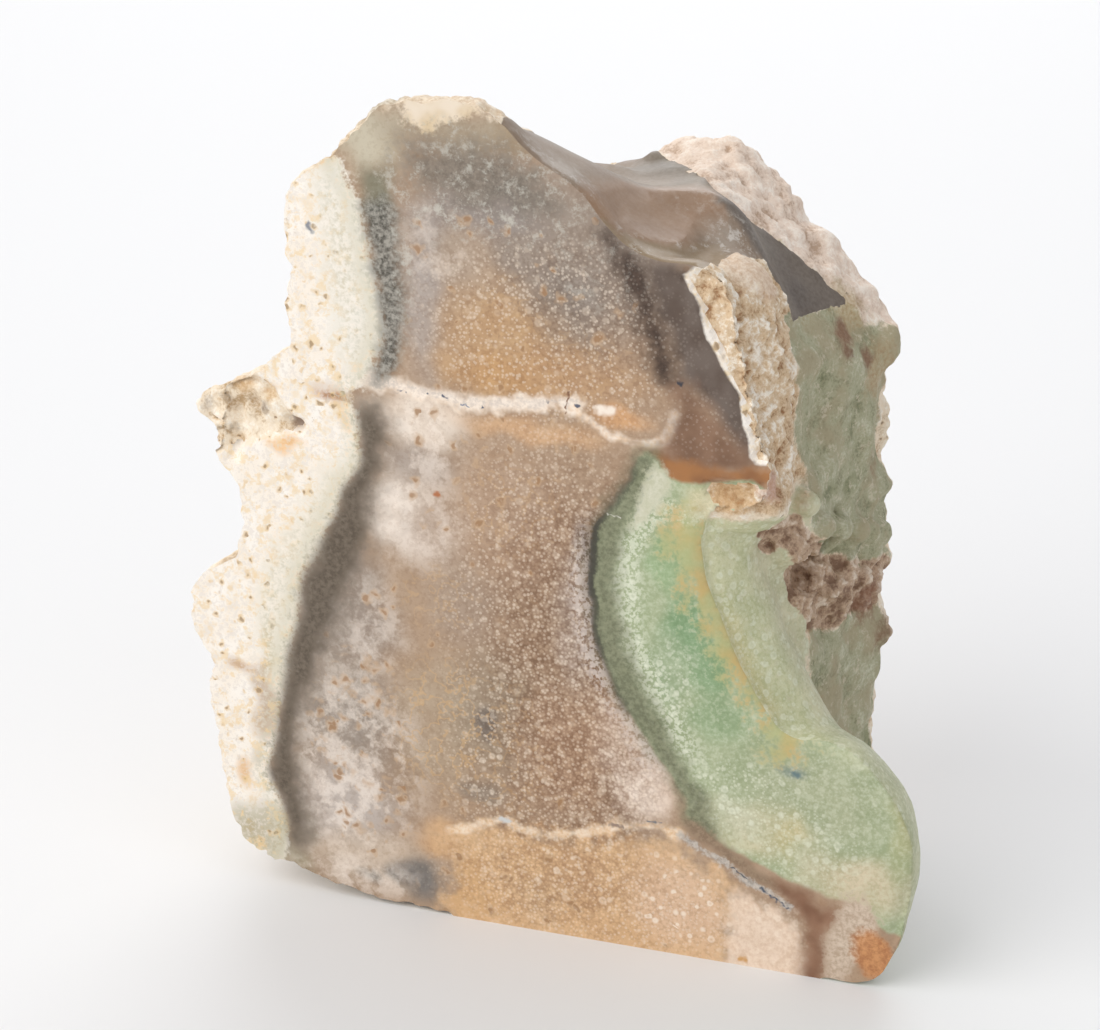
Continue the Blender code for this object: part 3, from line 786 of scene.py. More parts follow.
# Line, half width, depth
KNOB_GROOVES = [
    ([(-34.4, 53.4), (-34.0, 51.6), (-34.6, 49.0)], 0.9, 1.0),
    ([(-37.0, 57.4), (-33.5, 57.2), (-30.0, 56.4)], 0.5, 0.5),
    ([(-28.4, 53.3), (-27.2, 52.9)], 0.7, 1.0),
    ([(-32.6, 54.6), (-31.8, 54.4)], 0.5, 0.7),
    ([(-23.6, 56.4), (-22.2, 56.0)], 0.5, 0.5),
]
WORN_EDGE = [
    (16.2, 49.4), (16.3, 45.0), (16.8, 42.0), (18.3, 38.5), (19.5, 36.0), (21.0, 33.0), (22.5, 30.0),
    (24.5, 27.8), (28.0, 26.8), (33.0, 26.4), (36.0, 24.0), (38.4, 19.0), (38.8, 13.0), (37.0, 6.0),
]
WORN_REACH = 1.8
WORN_DEPTH = 0.6
WORN_FROM = 0.002          # a face worn more than this is shaded smooth


def values_of(mesh, name):
    values = np.zeros(len(mesh.vertices), np.float32)
    mesh.attributes[name].data.foreach_get("value", values)
    return values


def roughen_front(mesh):
    """Moves the missed places in, and returns how rough and how worn each point is."""
    places = places_of(mesh)
    x, y, z = places.T
    near = 1.0 - soft_step(y, 0.5, 4.0)
    inward = np.zeros(len(x))
    roughness = np.zeros(len(x))
    lift = values_of(mesh, "lift")
    for outline, kind, behind in ROUGH_PLACES:
        inside = depth_in(outline, x, z)
        here = np.nonzero((inside > 0.0) & (y < FLAT))[0]
        heights = np.array([RELIEFS[kind](Vector(places[point])) for point in here])
        inward += behind * soft_step(inside, 0.0, 2.0)
        inward[here] += np.maximum(LUMP_TOP - heights, -0.2) * soft_step(inside[here], 0.0, 0.8)
        lift[here] = heights
        share = values_of(mesh, kind)
        share[here] = np.maximum(share[here], soft_step(inside[here], 0.0, 0.5))
        add_values(mesh, kind, share)
        roughness[here] = inside[here]
    for line, half_width, depth in KNOB_GROOVES:
        inside = depth_in_line(line, half_width, x, z)
        inward += depth * soft_step(inside, -0.5 * half_width, half_width)
    worn = np.clip(depth_in_line(WORN_EDGE, WORN_REACH, x, z) / WORN_REACH, 0.0, 1.0) ** 2
    worn *= 1.0 - soft_step(y, 0.0, WORN_REACH)
    places[:, 1] += np.maximum(inward, 0.0) * near + WORN_DEPTH * worn
    move_to(mesh, places)
    add_values(mesh, "lift", lift)
    return roughness, worn


def finish_faces(mesh, roughness, worn):
    """The rough faces take the natural finish, and they and the worn edge are shaded smooth."""
    corners = np.zeros(len(mesh.loops), np.int32)
    mesh.loops.foreach_get("vertex_index", corners)
    corners = corners.reshape(-1, 3)
    finish = np.zeros(len(mesh.polygons), np.int32)
    mesh.polygons.foreach_get("material_index", finish)
    finish[roughness[corners].min(axis=1) > NATURAL_FROM] = 0
    mesh.polygons.foreach_set("material_index", finish)
    round_faces = (finish == 0) | (worn[corners].max(axis=1) > WORN_FROM)
    mesh.polygons.foreach_set("use_smooth", round_faces)
    return int((finish == 1).sum())


sawn_faces = finish_faces(mesh, *roughen_front(mesh))
print("the piece has", len(mesh.polygons), "triangles,", sawn_faces, "of them sawn")

# %% [markdown]
# ## Soft changes of colour
# Within a zone the colour drifts without any edge.  A list of soft patches does that: each has
# a middle, two radii, a strength and a tone, and is laid over the ones before it.  Tones are
# written as the eye sees them on a screen, from 0 to 255, and turned into the linear light
# that Blender works with.

# %% Tones and soft patches
def tone(red, green, blue):
    """A colour as seen on a screen, as Blender's linear colour."""
    share = np.array((red, green, blue)) / 255.0
    linear = np.where(share <= 0.04045, share / 12.92, ((share + 0.055) / 1.055) ** 2.4)
    return (*[float(value) for value in linear], 1.0)


AGATE_TONE = (178, 152, 127)
# Middle x and z, radii, strength, tone
AGATE_PATCHES = [
    ((1.0, 75.0), (18.0, 11.0), 0.85, (154, 142, 131)),
    ((-8.0, 77.5), (8.0, 3.0), 0.70, (150, 142, 138)),
    ((-19.0, 84.5), (5.0, 4.5), 1.00, (198, 188, 166)),
    ((-18.4, 78.6), (2.4, 3.6), 0.90, (128, 126, 106)),
    ((-10.0, 85.8), (9.0, 2.6), 0.80, (170, 157, 136)),
    ((-3.4, 86.0), (3.0, 2.0), 0.70, (168, 148, 120)),
    ((-13.2, 69.0), (3.2, 10.0), 1.00, (180, 168, 159)),
    ((-8.5, 72.5), (3.6, 5.0), 0.75, (188, 166, 144)),
    ((-5.0, 65.0), (7.5, 6.5), 0.85, (198, 162, 122)),
    ((-4.0, 61.0), (8.0, 3.0), 0.85, (202, 160, 112)),
    ((3.0, 62.0), (7.5, 3.4), 0.80, (192, 156, 120)),
    ((2.0, 69.5), (4.0, 4.0), 0.60, (152, 143, 134)),
    ((7.5, 58.2), (3.4, 1.6), 0.90, (214, 166, 120)),
    ((-14.0, 55.4), (6.0, 3.2), 1.00, (244, 229, 212)),
    ((-2.0, 55.8), (9.0, 1.6), 0.85, (216, 176, 136)),
    ((-14.5, 50.4), (5.0, 2.8), 0.80, (188, 174, 162)),
    ((-17.0, 45.0), (3.4, 4.4), 1.00, (244, 231, 217)),
    ((-12.6, 43.4), (3.8, 4.4), 0.80, (212, 194, 178)),
    ((-22.0, 32.0), (6.0, 5.0), 0.90, (168, 154, 142)),
    ((-20.5, 37.0), (3.0, 3.0), 0.70, (158, 144, 132)),
    ((-23.0, 22.0), (7.0, 9.0), 0.95, (172, 159, 146)),
    ((-23.0, 11.0), (7.0, 6.0), 0.95, (206, 194, 184)),
    ((-20.0, 5.0), (8.0, 3.4), 0.85, (214, 196, 176)),
    ((-27.4, 7.6), (2.2, 2.8), 0.80, (142, 132, 116)),
    ((-12.5, 22.0), (5.0, 9.0), 0.80, (182, 162, 138)),
    ((-12.0, 9.0), (3.0, 2.6), 0.80, (214, 172, 128)),
    ((-5.0, 46.0), (8.0, 9.0), 0.60, (188, 160, 136)),
    ((-9.5, 36.0), (4.0, 6.0), 0.60, (172, 154, 138)),
    ((-6.5, 24.0), (5.5, 8.0), 0.65, (162, 148, 128)),
    ((3.4, 44.0), (1.6, 3.4), 0.70, (140, 130, 120)),
    ((3.0, 36.0), (2.6, 8.0), 0.60, (206, 190, 176)),
    ((-7.0, 23.0), (1.6, 1.8), 0.85, (124, 114, 106)),
    ((-7.6, 15.0), (3.2, 1.6), 0.65, (142, 132, 120)),
    ((2.0, 21.0), (7.0, 8.0), 0.55, (204, 172, 144)),
    ((8.0, 24.0), (3.6, 7.0), 0.90, (224, 200, 178)),
    ((10.6, 18.0), (3.6, 4.0), 0.95, (240, 220, 202)),
    ((-14.4, 3.8), (2.6, 2.8), 0.95, (118, 115, 112)),
    ((-16.4, 4.6), (2.4, 1.6), 0.80, (124, 120, 116)),
    ((-20.2, 3.0), (1.8, 1.3), 0.85, (140, 134, 126)),
    ((-29.5, 4.0), (3.0, 2.4), 0.90, (172, 162, 138)),
]
BOTTOM_TONE = (224, 188, 146)
BOTTOM_PATCHES = [
    ((-9.0, 3.0), (3.6, 5.0), 0.70, (216, 176, 128)),
    ((-1.0, 4.0), (3.0, 4.0), 0.40, (208, 180, 148)),
    ((4.0, 7.0), (4.0, 4.0), 0.50, (204, 168, 132)),
    ((14.0, 6.0), (6.0, 6.0), 0.90, (226, 194, 164)),
    ((3.0, 12.8), (6.5, 1.4), 0.90, (230, 182, 126)),
]
GREEN_TONE = (176, 184, 150)
GREEN_PATCHES = [
    ((9.0, 40.0), (2.2, 13.0), 0.90, (182, 190, 156)),
    ((12.4, 43.4), (2.0, 4.4), 0.80, (160, 182, 140)),
    ((14.6, 37.4), (2.8, 4.4), 0.95, (140, 168, 128)),
    ((17.0, 33.0), (3.0, 4.0), 0.85, (142, 170, 130)),
    ((18.2, 27.6), (3.6, 3.6), 0.80, (152, 172, 134)),
    ((12.6, 32.0), (2.4, 5.0), 0.60, (164, 180, 148)),
    ((15.0, 47.4), (2.2, 3.0), 0.80, (194, 198, 152)),
    ((16.0, 50.6), (2.6, 2.2), 0.95, (226, 214, 180)),
    ((19.4, 44.0), (2.0, 4.0), 0.90, (204, 206, 176)),
    ((21.4, 38.0), (1.8, 5.0), 0.90, (202, 202, 166)),
    ((28.0, 20.0), (9.0, 7.0), 0.80, (178, 181, 150)),
    ((22.0, 15.6), (7.0, 3.4), 0.90, (214, 203, 170)),
    ((33.0, 11.4), (7.0, 3.6), 0.95, (214, 198, 168)),
    ((38.0, 22.0), (2.2, 9.0), 0.80, (192, 186, 140)),
    ((34.0, 26.0), (5.0, 2.0), 0.60, (198, 198, 164)),
    ((25.6, 26.6), (1.2, 2.2), 0.60, (206, 188, 130)),
    ((25.6, 15.4), (1.6, 3.0), 0.55, (204, 190, 142)),
    ((20.0, 16.6), (3.6, 2.6), 0.60, (196, 198, 172)),
    ((26.0, 22.8), (1.4, 1.1), 0.70, (132, 146, 140)),
]
RIND_TONE = (248, 241, 231)
RIND_PATCHES = [
    ((-32.5, 6.0), (4.2, 4.6), 0.85, (186, 180, 156)),
    ((-33.0, 57.0), (4.0, 0.9), 0.85, (226, 190, 138)),
    ((-32.0, 54.4), (1.6, 1.0), 0.60, (206, 194, 182)),
    ((-38.8, 54.0), (1.8, 2.8), 0.80, (190, 182, 174)),
    ((-35.2, 53.6), (1.6, 1.8), 0.50, (222, 216, 202)),
    ((-34.2, 51.2), (0.9, 1.7), 0.80, (150, 142, 130)),
    ((-28.0, 53.2), (1.7, 1.0), 0.90, (142, 116, 100)),
    ((-28.8, 51.0), (2.6, 1.0), 0.85, (240, 196, 142)),
    ((-23.4, 56.2), (3.0, 1.1), 0.95, (190, 140, 104)),
    ((-24.4, 57.4), (2.8, 1.2), 0.60, (214, 194, 176)),
    ((-22.0, 54.6), (1.0, 1.6), 0.60, (236, 204, 160)),
    ((-25.0, 81.6), (2.6, 1.2), 0.80, (242, 212, 168)),
    ((-34.4, 25.4), (2.4, 0.8), 0.70, (196, 160, 126)),
    ((-31.8, 21.6), (1.5, 5.4), 0.85, (192, 170, 148)),
    ((-31.0, 27.6), (1.2, 3.6), 0.70, (200, 190, 156)),
    ((-34.4, 13.0), (1.2, 1.4), 0.70, (226, 180, 124)),
    ((-32.8, 15.0), (0.8, 1.6), 0.60, (206, 196, 180)),
    ((-33.0, 6.4), (3.6, 3.2), 0.90, (196, 188, 166)),
]


def patch_share(places, middle, radii, strength, full, gone):
    """A soft patch: full strength up to one share of its radii, and gone from another."""
    reach = np.linalg.norm((places - np.array(middle)) / np.array(radii), axis=1)
    return strength * (1.0 - soft_step(reach, full, gone))


def blend(colours, share, new_tone):
    """The colours of the points with a tone laid over them, by a share for each point."""
    return colours + share[:, None] * (np.array(tone(*new_tone)) - colours)


def lay_patches(colours, patches, places, full=0.35, gone=1.25):
    """Lays all soft patches of a list over the colours, one after the other."""
    for middle, radii, strength, patch_tone in patches:
        colours = blend(colours, patch_share(places, middle, radii, strength, full, gone), patch_tone)
    return colours


def plain_colours(base, count):
    return np.tile(tone(*base), (count, 1))


def add_colours(mesh, name, colours):
    """Keeps one colour for each point of the mesh."""
    layer = mesh.attributes.get(name) or mesh.attributes.new(name, "FLOAT_COLOR", "POINT")
    layer.data.foreach_set("color", np.asarray(colours, np.float32).ravel())


print("middle grey on a screen is", round(tone(128, 128, 128)[0], 3), "in linear light")

# %% [markdown]
# ## Painting the points
# The zones' edges also wander slowly by up to half a millimetre, because an outline of
# straight pieces still looks drawn.  The finer raggedness is left to the material.  Where tiny
# balls, orbs, clouds, rust and flecks lie is painted as well, as densities from 0 to 1.

# %% Depths, ground colours and densities
# Middle x and z, radii, strength
DENSITIES = {
    "spherules": [
        ((0.0, 66.0), (16.0, 12.0), 1.0), ((0.0, 36.0), (13.0, 24.0), 0.9),
        ((0.0, 18.0), (14.0, 12.0), 0.9), ((-6.0, 79.0), (11.0, 6.0), 0.3),
        ((4.0, 5.0), (18.0, 8.0), 0.9), ((-20.0, 24.0), (8.0, 16.0), 0.2),
        ((22.0, 4.0), (8.0, 5.0), 0.5), ((-14.0, 68.0), (4.0, 9.0), 0.35),
        ((16.0, 58.5), (5.0, 4.0), 0.7),
    ],
    "web": [
        ((4.0, 30.0), (12.0, 24.0), 1.0), ((0.0, 8.0), (12.0, 8.0), 0.6),
        ((4.0, 70.0), (9.0, 8.0), 0.35),
    ],
    "lace": [
        ((-11.0, 22.0), (7.0, 9.0), 1.0), ((-5.0, 20.0), (6.0, 9.0), 0.7),
        ((-4.0, 47.0), (6.0, 6.0), 0.6), ((2.0, 62.0), (8.0, 6.0), 0.5),
        ((-4.0, 68.0), (4.0, 4.0), 0.6), ((-12.0, 36.0), (5.0, 4.0), 0.6),
    ],
    "rings": [
        ((14.0, 6.0), (6.0, 6.0), 1.0), ((23.0, 4.0), (5.0, 5.0), 0.6),
        ((4.0, 8.0), (8.0, 4.0), 0.35), ((-7.0, 18.0), (5.0, 6.0), 0.25),
    ],
    "clouds": [
        ((-22.0, 16.0), (9.0, 12.0), 1.0), ((-22.0, 32.0), (7.0, 8.0), 0.7),
        ((-15.0, 45.0), (6.0, 7.0), 0.7), ((-14.0, 53.0), (6.0, 5.0), 0.8),
        ((9.0, 20.0), (4.0, 9.0), 0.7), ((23.0, 3.0), (5.0, 5.0), 0.8),
        ((-22.0, 3.0), (8.0, 3.0), 0.8), ((-12.0, 74.0), (4.0, 5.0), 0.5),
        ((3.0, 36.0), (3.0, 9.0), 0.5),
    ],
    "rust": [
        ((-21.5, 21.5), (6.5, 10.5), 1.0), ((-20.5, 11.0), (6.0, 5.0), 0.9),
        ((-13.0, 46.5), (3.0, 4.0), 0.35), ((-15.0, 35.0), (5.0, 5.0), 0.5),
        ((-4.0, 8.0), (12.0, 8.0), 0.25), ((-4.0, 60.0), (14.0, 20.0), 0.22),
    ],
    "flecks": [
        ((-7.0, 80.0), (13.0, 6.4), 1.0), ((-15.9, 72.0), (1.5, 9.0), 1.0),
        ((4.0, 74.0), (7.0, 6.0), 0.45), ((8.0, 72.0), (3.0, 5.0), 0.4),
        ((-12.0, 86.2), (5.0, 1.6), 0.8),
    ],
    "rim_shade": [
        ((4.2, 43.0), (3.4, 7.0), 1.0), ((4.6, 35.4), (3.4, 5.0), 0.75),
        ((7.0, 29.5), (3.4, 4.5), 0.4), ((7.5, 50.5), (3.4, 4.0), 0.5),
    ],
    "rim_halo": [
        ((3.0, 34.0), (5.0, 14.0), 1.0), ((8.0, 24.0), (5.0, 8.0), 0.6),
    ],
    "orbs": [
        ((13.0, 29.0), (3.4, 7.0), 0.75), ((20.0, 19.0), (8.0, 5.0), 0.8),
        ((27.0, 15.0), (8.0, 6.0), 0.6), ((31.0, 22.0), (8.0, 6.0), 0.3),
        ((22.0, 30.0), (3.0, 8.0), 0.3), ((17.0, 40.0), (3.0, 6.0), 0.25),
    ],
}
GROUNDS = {
    "agate_ground": (AGATE_TONE, AGATE_PATCHES),
    "bottom_ground": (BOTTOM_TONE, BOTTOM_PATCHES),
    "green_ground": (GREEN_TONE, GREEN_PATCHES),
    "rind_ground": (RIND_TONE, RIND_PATCHES),
}
PAINTED_DEPTH = 4.5        # points further behind the sawn plane get no zones
FAR_OUTSIDE = -9.0
DRIFT_SIZE = 3.2
EDGE_DRIFT = 0.45          # how far the edges of the zones wander
LINE_DRIFT = 0.3           # the same for the seams
TONE_DRIFT = 1.2           # and for the soft changes of colour


def wander(places, seed):
    """Smooth noise from -1 to 1 over the sawn face."""
    return np.array([noise.noise(Vector((a, seed, b))) for a, b in places / DRIFT_SIZE])


def density(patches, places, full=0.5, gone=1.2):
    """The strongest of some round patches at each place."""
    found = np.zeros(len(places))
    for patch in patches:
        found = np.maximum(found, patch_share(places, *patch, full, gone))
    return found


def orbs_beside_rim(green_depth, places):
    """A band of crowded orbs a few millimetres inside the rim of the green zone."""
    x, z = places.T
    band = soft_step(green_depth, 2.0, 2.8) * (1.0 - soft_step(green_depth, 4.2, 5.8))
    return band * soft_step(z, 16.0, 26.0) * (1.0 - soft_step(x, 14.0, 18.0))


def paint_sawn_face(mesh):
    """Stores depth, ground colour and density for all points; the sides just carry them along."""
    x, y, z = places_of(mesh).T
    near_face = y < PAINTED_DEPTH
    flat = np.stack([np.where(near_face, x, 0.0), np.where(near_face, z, 40.0)], axis=1)
    drift = np.zeros(flat.shape)
    drift[near_face, 0] = wander(flat[near_face], 2.0)
    drift[near_face, 1] = wander(flat[near_face], 9.0)
    wandered = flat + EDGE_DRIFT * drift
    depths = {name: depth_in(outline, *wandered.T) for name, outline in OUTLINES.items()}
    for name, depth in depths.items():
        add_values(mesh, name, np.where(near_face, depth, FAR_OUTSIDE))
    for name, (line, half_width) in LINES.items():
        add_values(mesh, name, depth_in_line(line, half_width, *(flat + LINE_DRIFT * drift).T))
    for name, (base, patches) in GROUNDS.items():
        ground = lay_patches(plain_colours(base, len(flat)), patches, flat + TONE_DRIFT * drift)
        add_colours(mesh, name, ground)
    for name, patches in DENSITIES.items():
        add_values(mesh, name, density(patches, wandered))
    band = orbs_beside_rim(depths["green"], flat)
    add_values(mesh, "orbs", np.maximum(density(DENSITIES["orbs"], wandered), band))
    add_values(mesh, "orb_band", band)


paint_sawn_face(mesh)
tell("sawn face painted")

# %% [markdown]
# ## Stains on the natural sides
# The crust of the right side is ochre in one place and pink in another, and rust sits where
# water ran.  These are soft patches too, but in space: a middle, a radius, a strength and a
# tone.

# %% Painting the stains
NO_STAIN_TONE = (200, 180, 160)
# Middle, radius, strength, tone
STAINS = [
    ((-10.5, 4.0, 87.5), 7.0, 0.9, (240, 224, 200)),
    ((-17.5, 2.0, 86.0), 3.5, 0.8, (196, 186, 164)),
    ((15.0, 6.0, 74.0), 2.2, 1.0, (228, 210, 190)),
    ((17.4, 6.4, 73.4), 3.0, 1.0, (234, 215, 195)),
    ((19.8, 7.4, 71.6), 2.6, 1.0, (228, 205, 182)),
    ((9.0, 0.8, 75.6), 1.3, 1.0, (232, 224, 212)),
    ((12.0, 1.6, 75.0), 2.2, 0.7, (205, 190, 150)),
    ((18.6, 0.6, 51.6), 3.4, 0.6, (214, 180, 134)),
    ((-38.2, 0.6, 53.4), 1.5, 0.8, (176, 168, 160)),
    ((-34.4, 0.6, 51.4), 1.1, 0.9, (136, 126, 114)),
    ((-33.6, 0.6, 56.6), 1.5, 0.7, (224, 190, 142)),
    ((-30.6, 0.6, 56.0), 1.3, 0.7, (228, 196, 146)),
    ((-27.6, 1.2, 53.1), 1.1, 1.0, (124, 98, 82)),
    ((-31.4, 0.8, 54.2), 0.9, 0.8, (150, 138, 126)),
    ((-35.8, 0.8, 54.6), 1.0, 0.6, (190, 182, 170)),
    ((22.6, 1.6, 52.6), 2.0, 0.9, (214, 176, 158)),
    ((23.2, 8.0, 48.6), 2.4, 0.7, (206, 176, 146)),
    ((24.0, 21.6, 62.2), 1.9, 0.9, (142, 104, 82)),
    ((25.6, 24.0, 58.6), 1.6, 0.8, (146, 108, 86)),
    ((24.9, 20.4, 60.6), 1.1, 0.9, (136, 98, 78)),
    ((23.0, 24.2, 64.0), 3.4, 0.8, (206, 190, 156)),
    ((26.0, 26.0, 57.0), 3.6, 0.7, (194, 174, 140)),
    ((20.8, 17.0, 65.4), 2.4, 0.7, (192, 190, 162)),
    ((26.8, 27.0, 46.0), 1.8, 0.6, (166, 138, 112)),
    ((26.6, 26.0, 31.0), 2.8, 0.8, (150, 108, 84)),
    ((27.2, 29.0, 26.5), 2.4, 0.7, (146, 116, 92)),
]


def paint_stains(mesh):
    """Each point takes the tone of the stain that is strongest there."""
    places = places_of(mesh)
    colours = plain_colours(NO_STAIN_TONE, len(places))
    shares = np.zeros(len(places))
    for middle, radius, strength, stain_tone in STAINS:
        share = patch_share(places, middle, radius, strength, 0.3, 1.3)
        colours = np.where((share > shares)[:, None], np.array(tone(*stain_tone)), colours)
        shares = np.maximum(shares, share)
    add_colours(mesh, "stain_tone", colours)
    add_values(mesh, "stain", shares)


paint_stains(mesh)
print(len(STAINS), "stains painted")

# %% [markdown]
# ## The waxy flank of the green zone
# Behind the saw's edge the green agate curves away as a smooth flank.  An ochre seam runs just
# inside that edge, then the green grows paler and creamier towards the back.  The flank's green
# tones are painted lighter than the stone's own green, a painted highlight for the light on the flank.

# %% Painting the flank
# The flank's green tones are painted lighter than the stone's own, as painted light on the flank.
FLANK_TONE = (208, 206, 168)
FLANK_EDGE_TONE = (210, 196, 146)
FLANK_BACK_TONE = (214, 206, 176)
LOBE_TONE = (196, 196, 162)


def paint_flank(mesh):
    """Paler towards the back, with the ochre seam in front and the lobe at the right."""
    x, y, z = places_of(mesh).T
    seam = 0.6 * (1.0 - soft_step(np.abs(y - 0.8), 0.3, 1.6))
    seam *= soft_step(z, 27.0, 29.0) * (1.0 - soft_step(z, 36.0, 42.0))
    colours = plain_colours(FLANK_TONE, len(x))
    colours = blend(colours, 0.8 * soft_step(y, 3.5, 8.0), FLANK_BACK_TONE)
    colours = blend(colours, seam, FLANK_EDGE_TONE)
    colours = blend(colours, soft_step(x, 26.0, 30.0), LOBE_TONE)
    add_colours(mesh, "flank_tone", colours)


paint_flank(mesh)
tell("flank painted")

# %% [markdown]
# ## Tones of the smoky glass
# Each shell of the fracture has its own tone, and the tone changes sharply at the ridge between
# two shells.  The side shell's dark tone, laid over the facet right of the ridge, is painted shade
# for a facet that faces away from the light.  The flat bench in front of the large shell has a
# painted shade for its other slope and a thin painted highlight along its edge.  Soft patches add
# darker and paler places.  At the corner and near the ridge the glass is frosted white in places,
# painted as a density that also holds the bench edge's painted highlight.

# %% Painting the fracture
# The side shell's dark tone is painted shade: its facet faces away from the light.
SHELL_TONES = {"main": (156, 128, 104), "top strip": (140, 120, 98), "side": (112, 101, 90)}
BROKEN_TONE = (146, 126, 106)
# The bench's tone is painted shade for its flatter slope.
PAINTED_BENCH_SHADE = (150, 130, 104)
# Middle, radius, strength, tone
GLASS_PATCHES = [
    ((4.0, 1.5, 79.0), 2.4, 0.6, (166, 128, 92)),
    ((1.0, 2.0, 82.5), 3.0, 0.5, (164, 152, 138)),
    ((14.4, 11.0, 75.0), 2.6, 0.6, (176, 166, 154)),
    ((9.0, 20.0, 77.0), 4.0, 0.6, (116, 108, 92)),
    ((4.0, 26.0, 80.0), 8.0, 0.9, (96, 88, 72)),
    ((16.0, 17.0, 73.0), 3.4, 0.5, (112, 104, 92)),
    ((20.5, 18.0, 67.0), 2.6, 0.5, (84, 76, 72)),
]
# The flat bench in front of the large shell, as x and y
BENCH = [
    (4.8, -2.0), (5.4, 0.6), (7.4, 2.3), (9.5, 3.5), (11.9, 6.6), (13.4, 10.4), (15.6, 9.0),
    (16.6, 4.0), (16.0, -2.0),
]
# Middle, radius, strength of the frosted places
FROST_PLACES = [
    ((15.2, 12.0, 74.0), 3.2, 1.0),
    ((2.0, 1.5, 81.5), 3.6, 0.6),
    ((10.0, 13.5, 77.6), 4.0, 0.3),
    ((9.0, 0.6, 75.6), 1.6, 1.0),
    ((-2.6, 1.0, 85.0), 2.6, 0.5),
]
BENCH_EDGE_HIGHLIGHT = 0.75          # strength of the painted highlight along the edge of the bench
ON_SHELL = 0.5             # a point this near to a shell is part of it


def paint_glass(mesh):
    """The nearest shell gives a point its tone; the bench, the facet and soft patches lie over it."""
    places = places_of(mesh)
    off = np.array([np.abs(shell_depth(places, shell)) for shell in SHELLS])
    tones = np.array([tone(*SHELL_TONES[shell[0]]) for shell in SHELLS])
    on_shell = (off.min(axis=0) < ON_SHELL)[:, None]
    colours = np.where(on_shell, tones[off.argmin(axis=0)], np.array(tone(*BROKEN_TONE)))
    inside_bench = depth_in(BENCH, places[:, 0], places[:, 1])
    # painted shade on the flat bench
    colours = blend(colours, soft_step(inside_bench, -0.15, 0.15), PAINTED_BENCH_SHADE)
    # painted shade of the side shell, laid over the facet
    colours = blend(colours, on_facet(places), SHELL_TONES["side"])
    add_colours(mesh, "glass_tone", lay_patches(colours, GLASS_PATCHES, places, 0.3, 1.1))
    # a thin painted highlight along the bench's edge, kept with the frosted places
    frost_and_edge_highlight = BENCH_EDGE_HIGHLIGHT * (1.0 - soft_step(np.abs(inside_bench), 0.05, 0.5))
    add_values(mesh, "frost_and_edge_highlight", np.maximum(frost_and_edge_highlight, density(FROST_PLACES, places, 0.4, 1.1)))


paint_glass(mesh)
print(len(GLASS_PATCHES), "tones and", len(FROST_PLACES), "frosted places on the fracture")

# %% [markdown]
# ## Building materials out of nodes
# Long node trees are easier to read as code when each line lays one thing over the last and
# says what goes into it.  A few small helpers do that.

# %% Node helpers
def join(tree, source, target):
    """Links a socket to an input, or sets the input's own value."""
    if isinstance(source, bpy.types.NodeSocket):
        tree.links.new(source, target)
    else:
        target.default_value = source


def add_node(tree, kind, inputs=None, **settings):
    """A new node with its settings, and its inputs by name."""
    node = tree.nodes.new(kind)
    for name, value in settings.items():
        setattr(node, name, value)
    for name, value in (inputs or {}).items():
        join(tree, value, node.inputs[name])
    return node


def maths(tree, operation, *values):
    """One sum on one, two or three numbers."""
    node = tree.nodes.new("ShaderNodeMath")
    node.operation = operation
    for socket, value in zip(node.inputs, values):
        join(tree, value, socket)
    return node.outputs[0]


def times(tree, *factors):
    """The product of some numbers."""
    product = factors[0]
    for factor in factors[1:]:
        product = maths(tree, "MULTIPLY", product, factor)
    return product


def centred(tree, value, factor):
    """Noise from 0 to 1 turned into noise round 0, and made larger."""
    return times(tree, maths(tree, "SUBTRACT", value, 0.5), factor)


def vector_maths(tree, operation, first, second=None):
    """One sum on places; DOT_PRODUCT and LENGTH give a number, the others a place."""
    node = add_node(tree, "ShaderNodeVectorMath", operation=operation)
    join(tree, first, node.inputs[0])
    if second is not None:
        join(tree, second, node.inputs["Scale" if operation == "SCALE" else 1])
    return node.outputs["Value" if operation in ("DOT_PRODUCT", "LENGTH") else "Vector"]


def ramp(tree, value, start, end):
    """Goes smoothly from 0 at start to 1 at end; start may be the larger one."""
    return add_node(tree, "ShaderNodeMapRange", {"Value": value, "From Min": start, "From Max": end},
                    interpolation_type="SMOOTHSTEP").outputs["Result"]


def lay_over(tree, share, below, above):
    """Lays one colour over another by a share from 0 to 1."""
    node = tree.nodes.new("ShaderNodeMix")
    node.data_type = "RGBA"
    colours = [socket for socket in node.inputs if socket.type == "RGBA"]
    join(tree, share, node.inputs[0])
    join(tree, below, colours[0])
    join(tree, above, colours[1])
    return [socket for socket in node.outputs if socket.type == "RGBA"][0]


def cover(tree, colour, screen_tone, *shares):
    """Lays a screen tone over a colour, by the product of some shares."""
    return lay_over(tree, times(tree, *shares), colour, tone(*screen_tone))


def tint(tree, colour, screen_tone, *shares):
    """Multiplies a colour by a screen tone instead."""
    product = cover(tree, colour, screen_tone, *shares)
    product.node.blend_type = "MULTIPLY"
    return product


def painted(tree, name, kind="Fac"):
    """What was painted on the points: a number, or with "Color" a colour."""
    return add_node(tree, "ShaderNodeAttribute", attribute_name=name).outputs[kind]


def noise_field(tree, place, per_millimetre, detail=3.0, roughness=0.6):
    """Plain noise from 0 to 1."""
    return add_node(tree, "ShaderNodeTexNoise", {
        "Vector": place, "Scale": per_millimetre, "Detail": detail, "Roughness": roughness}).outputs[0]


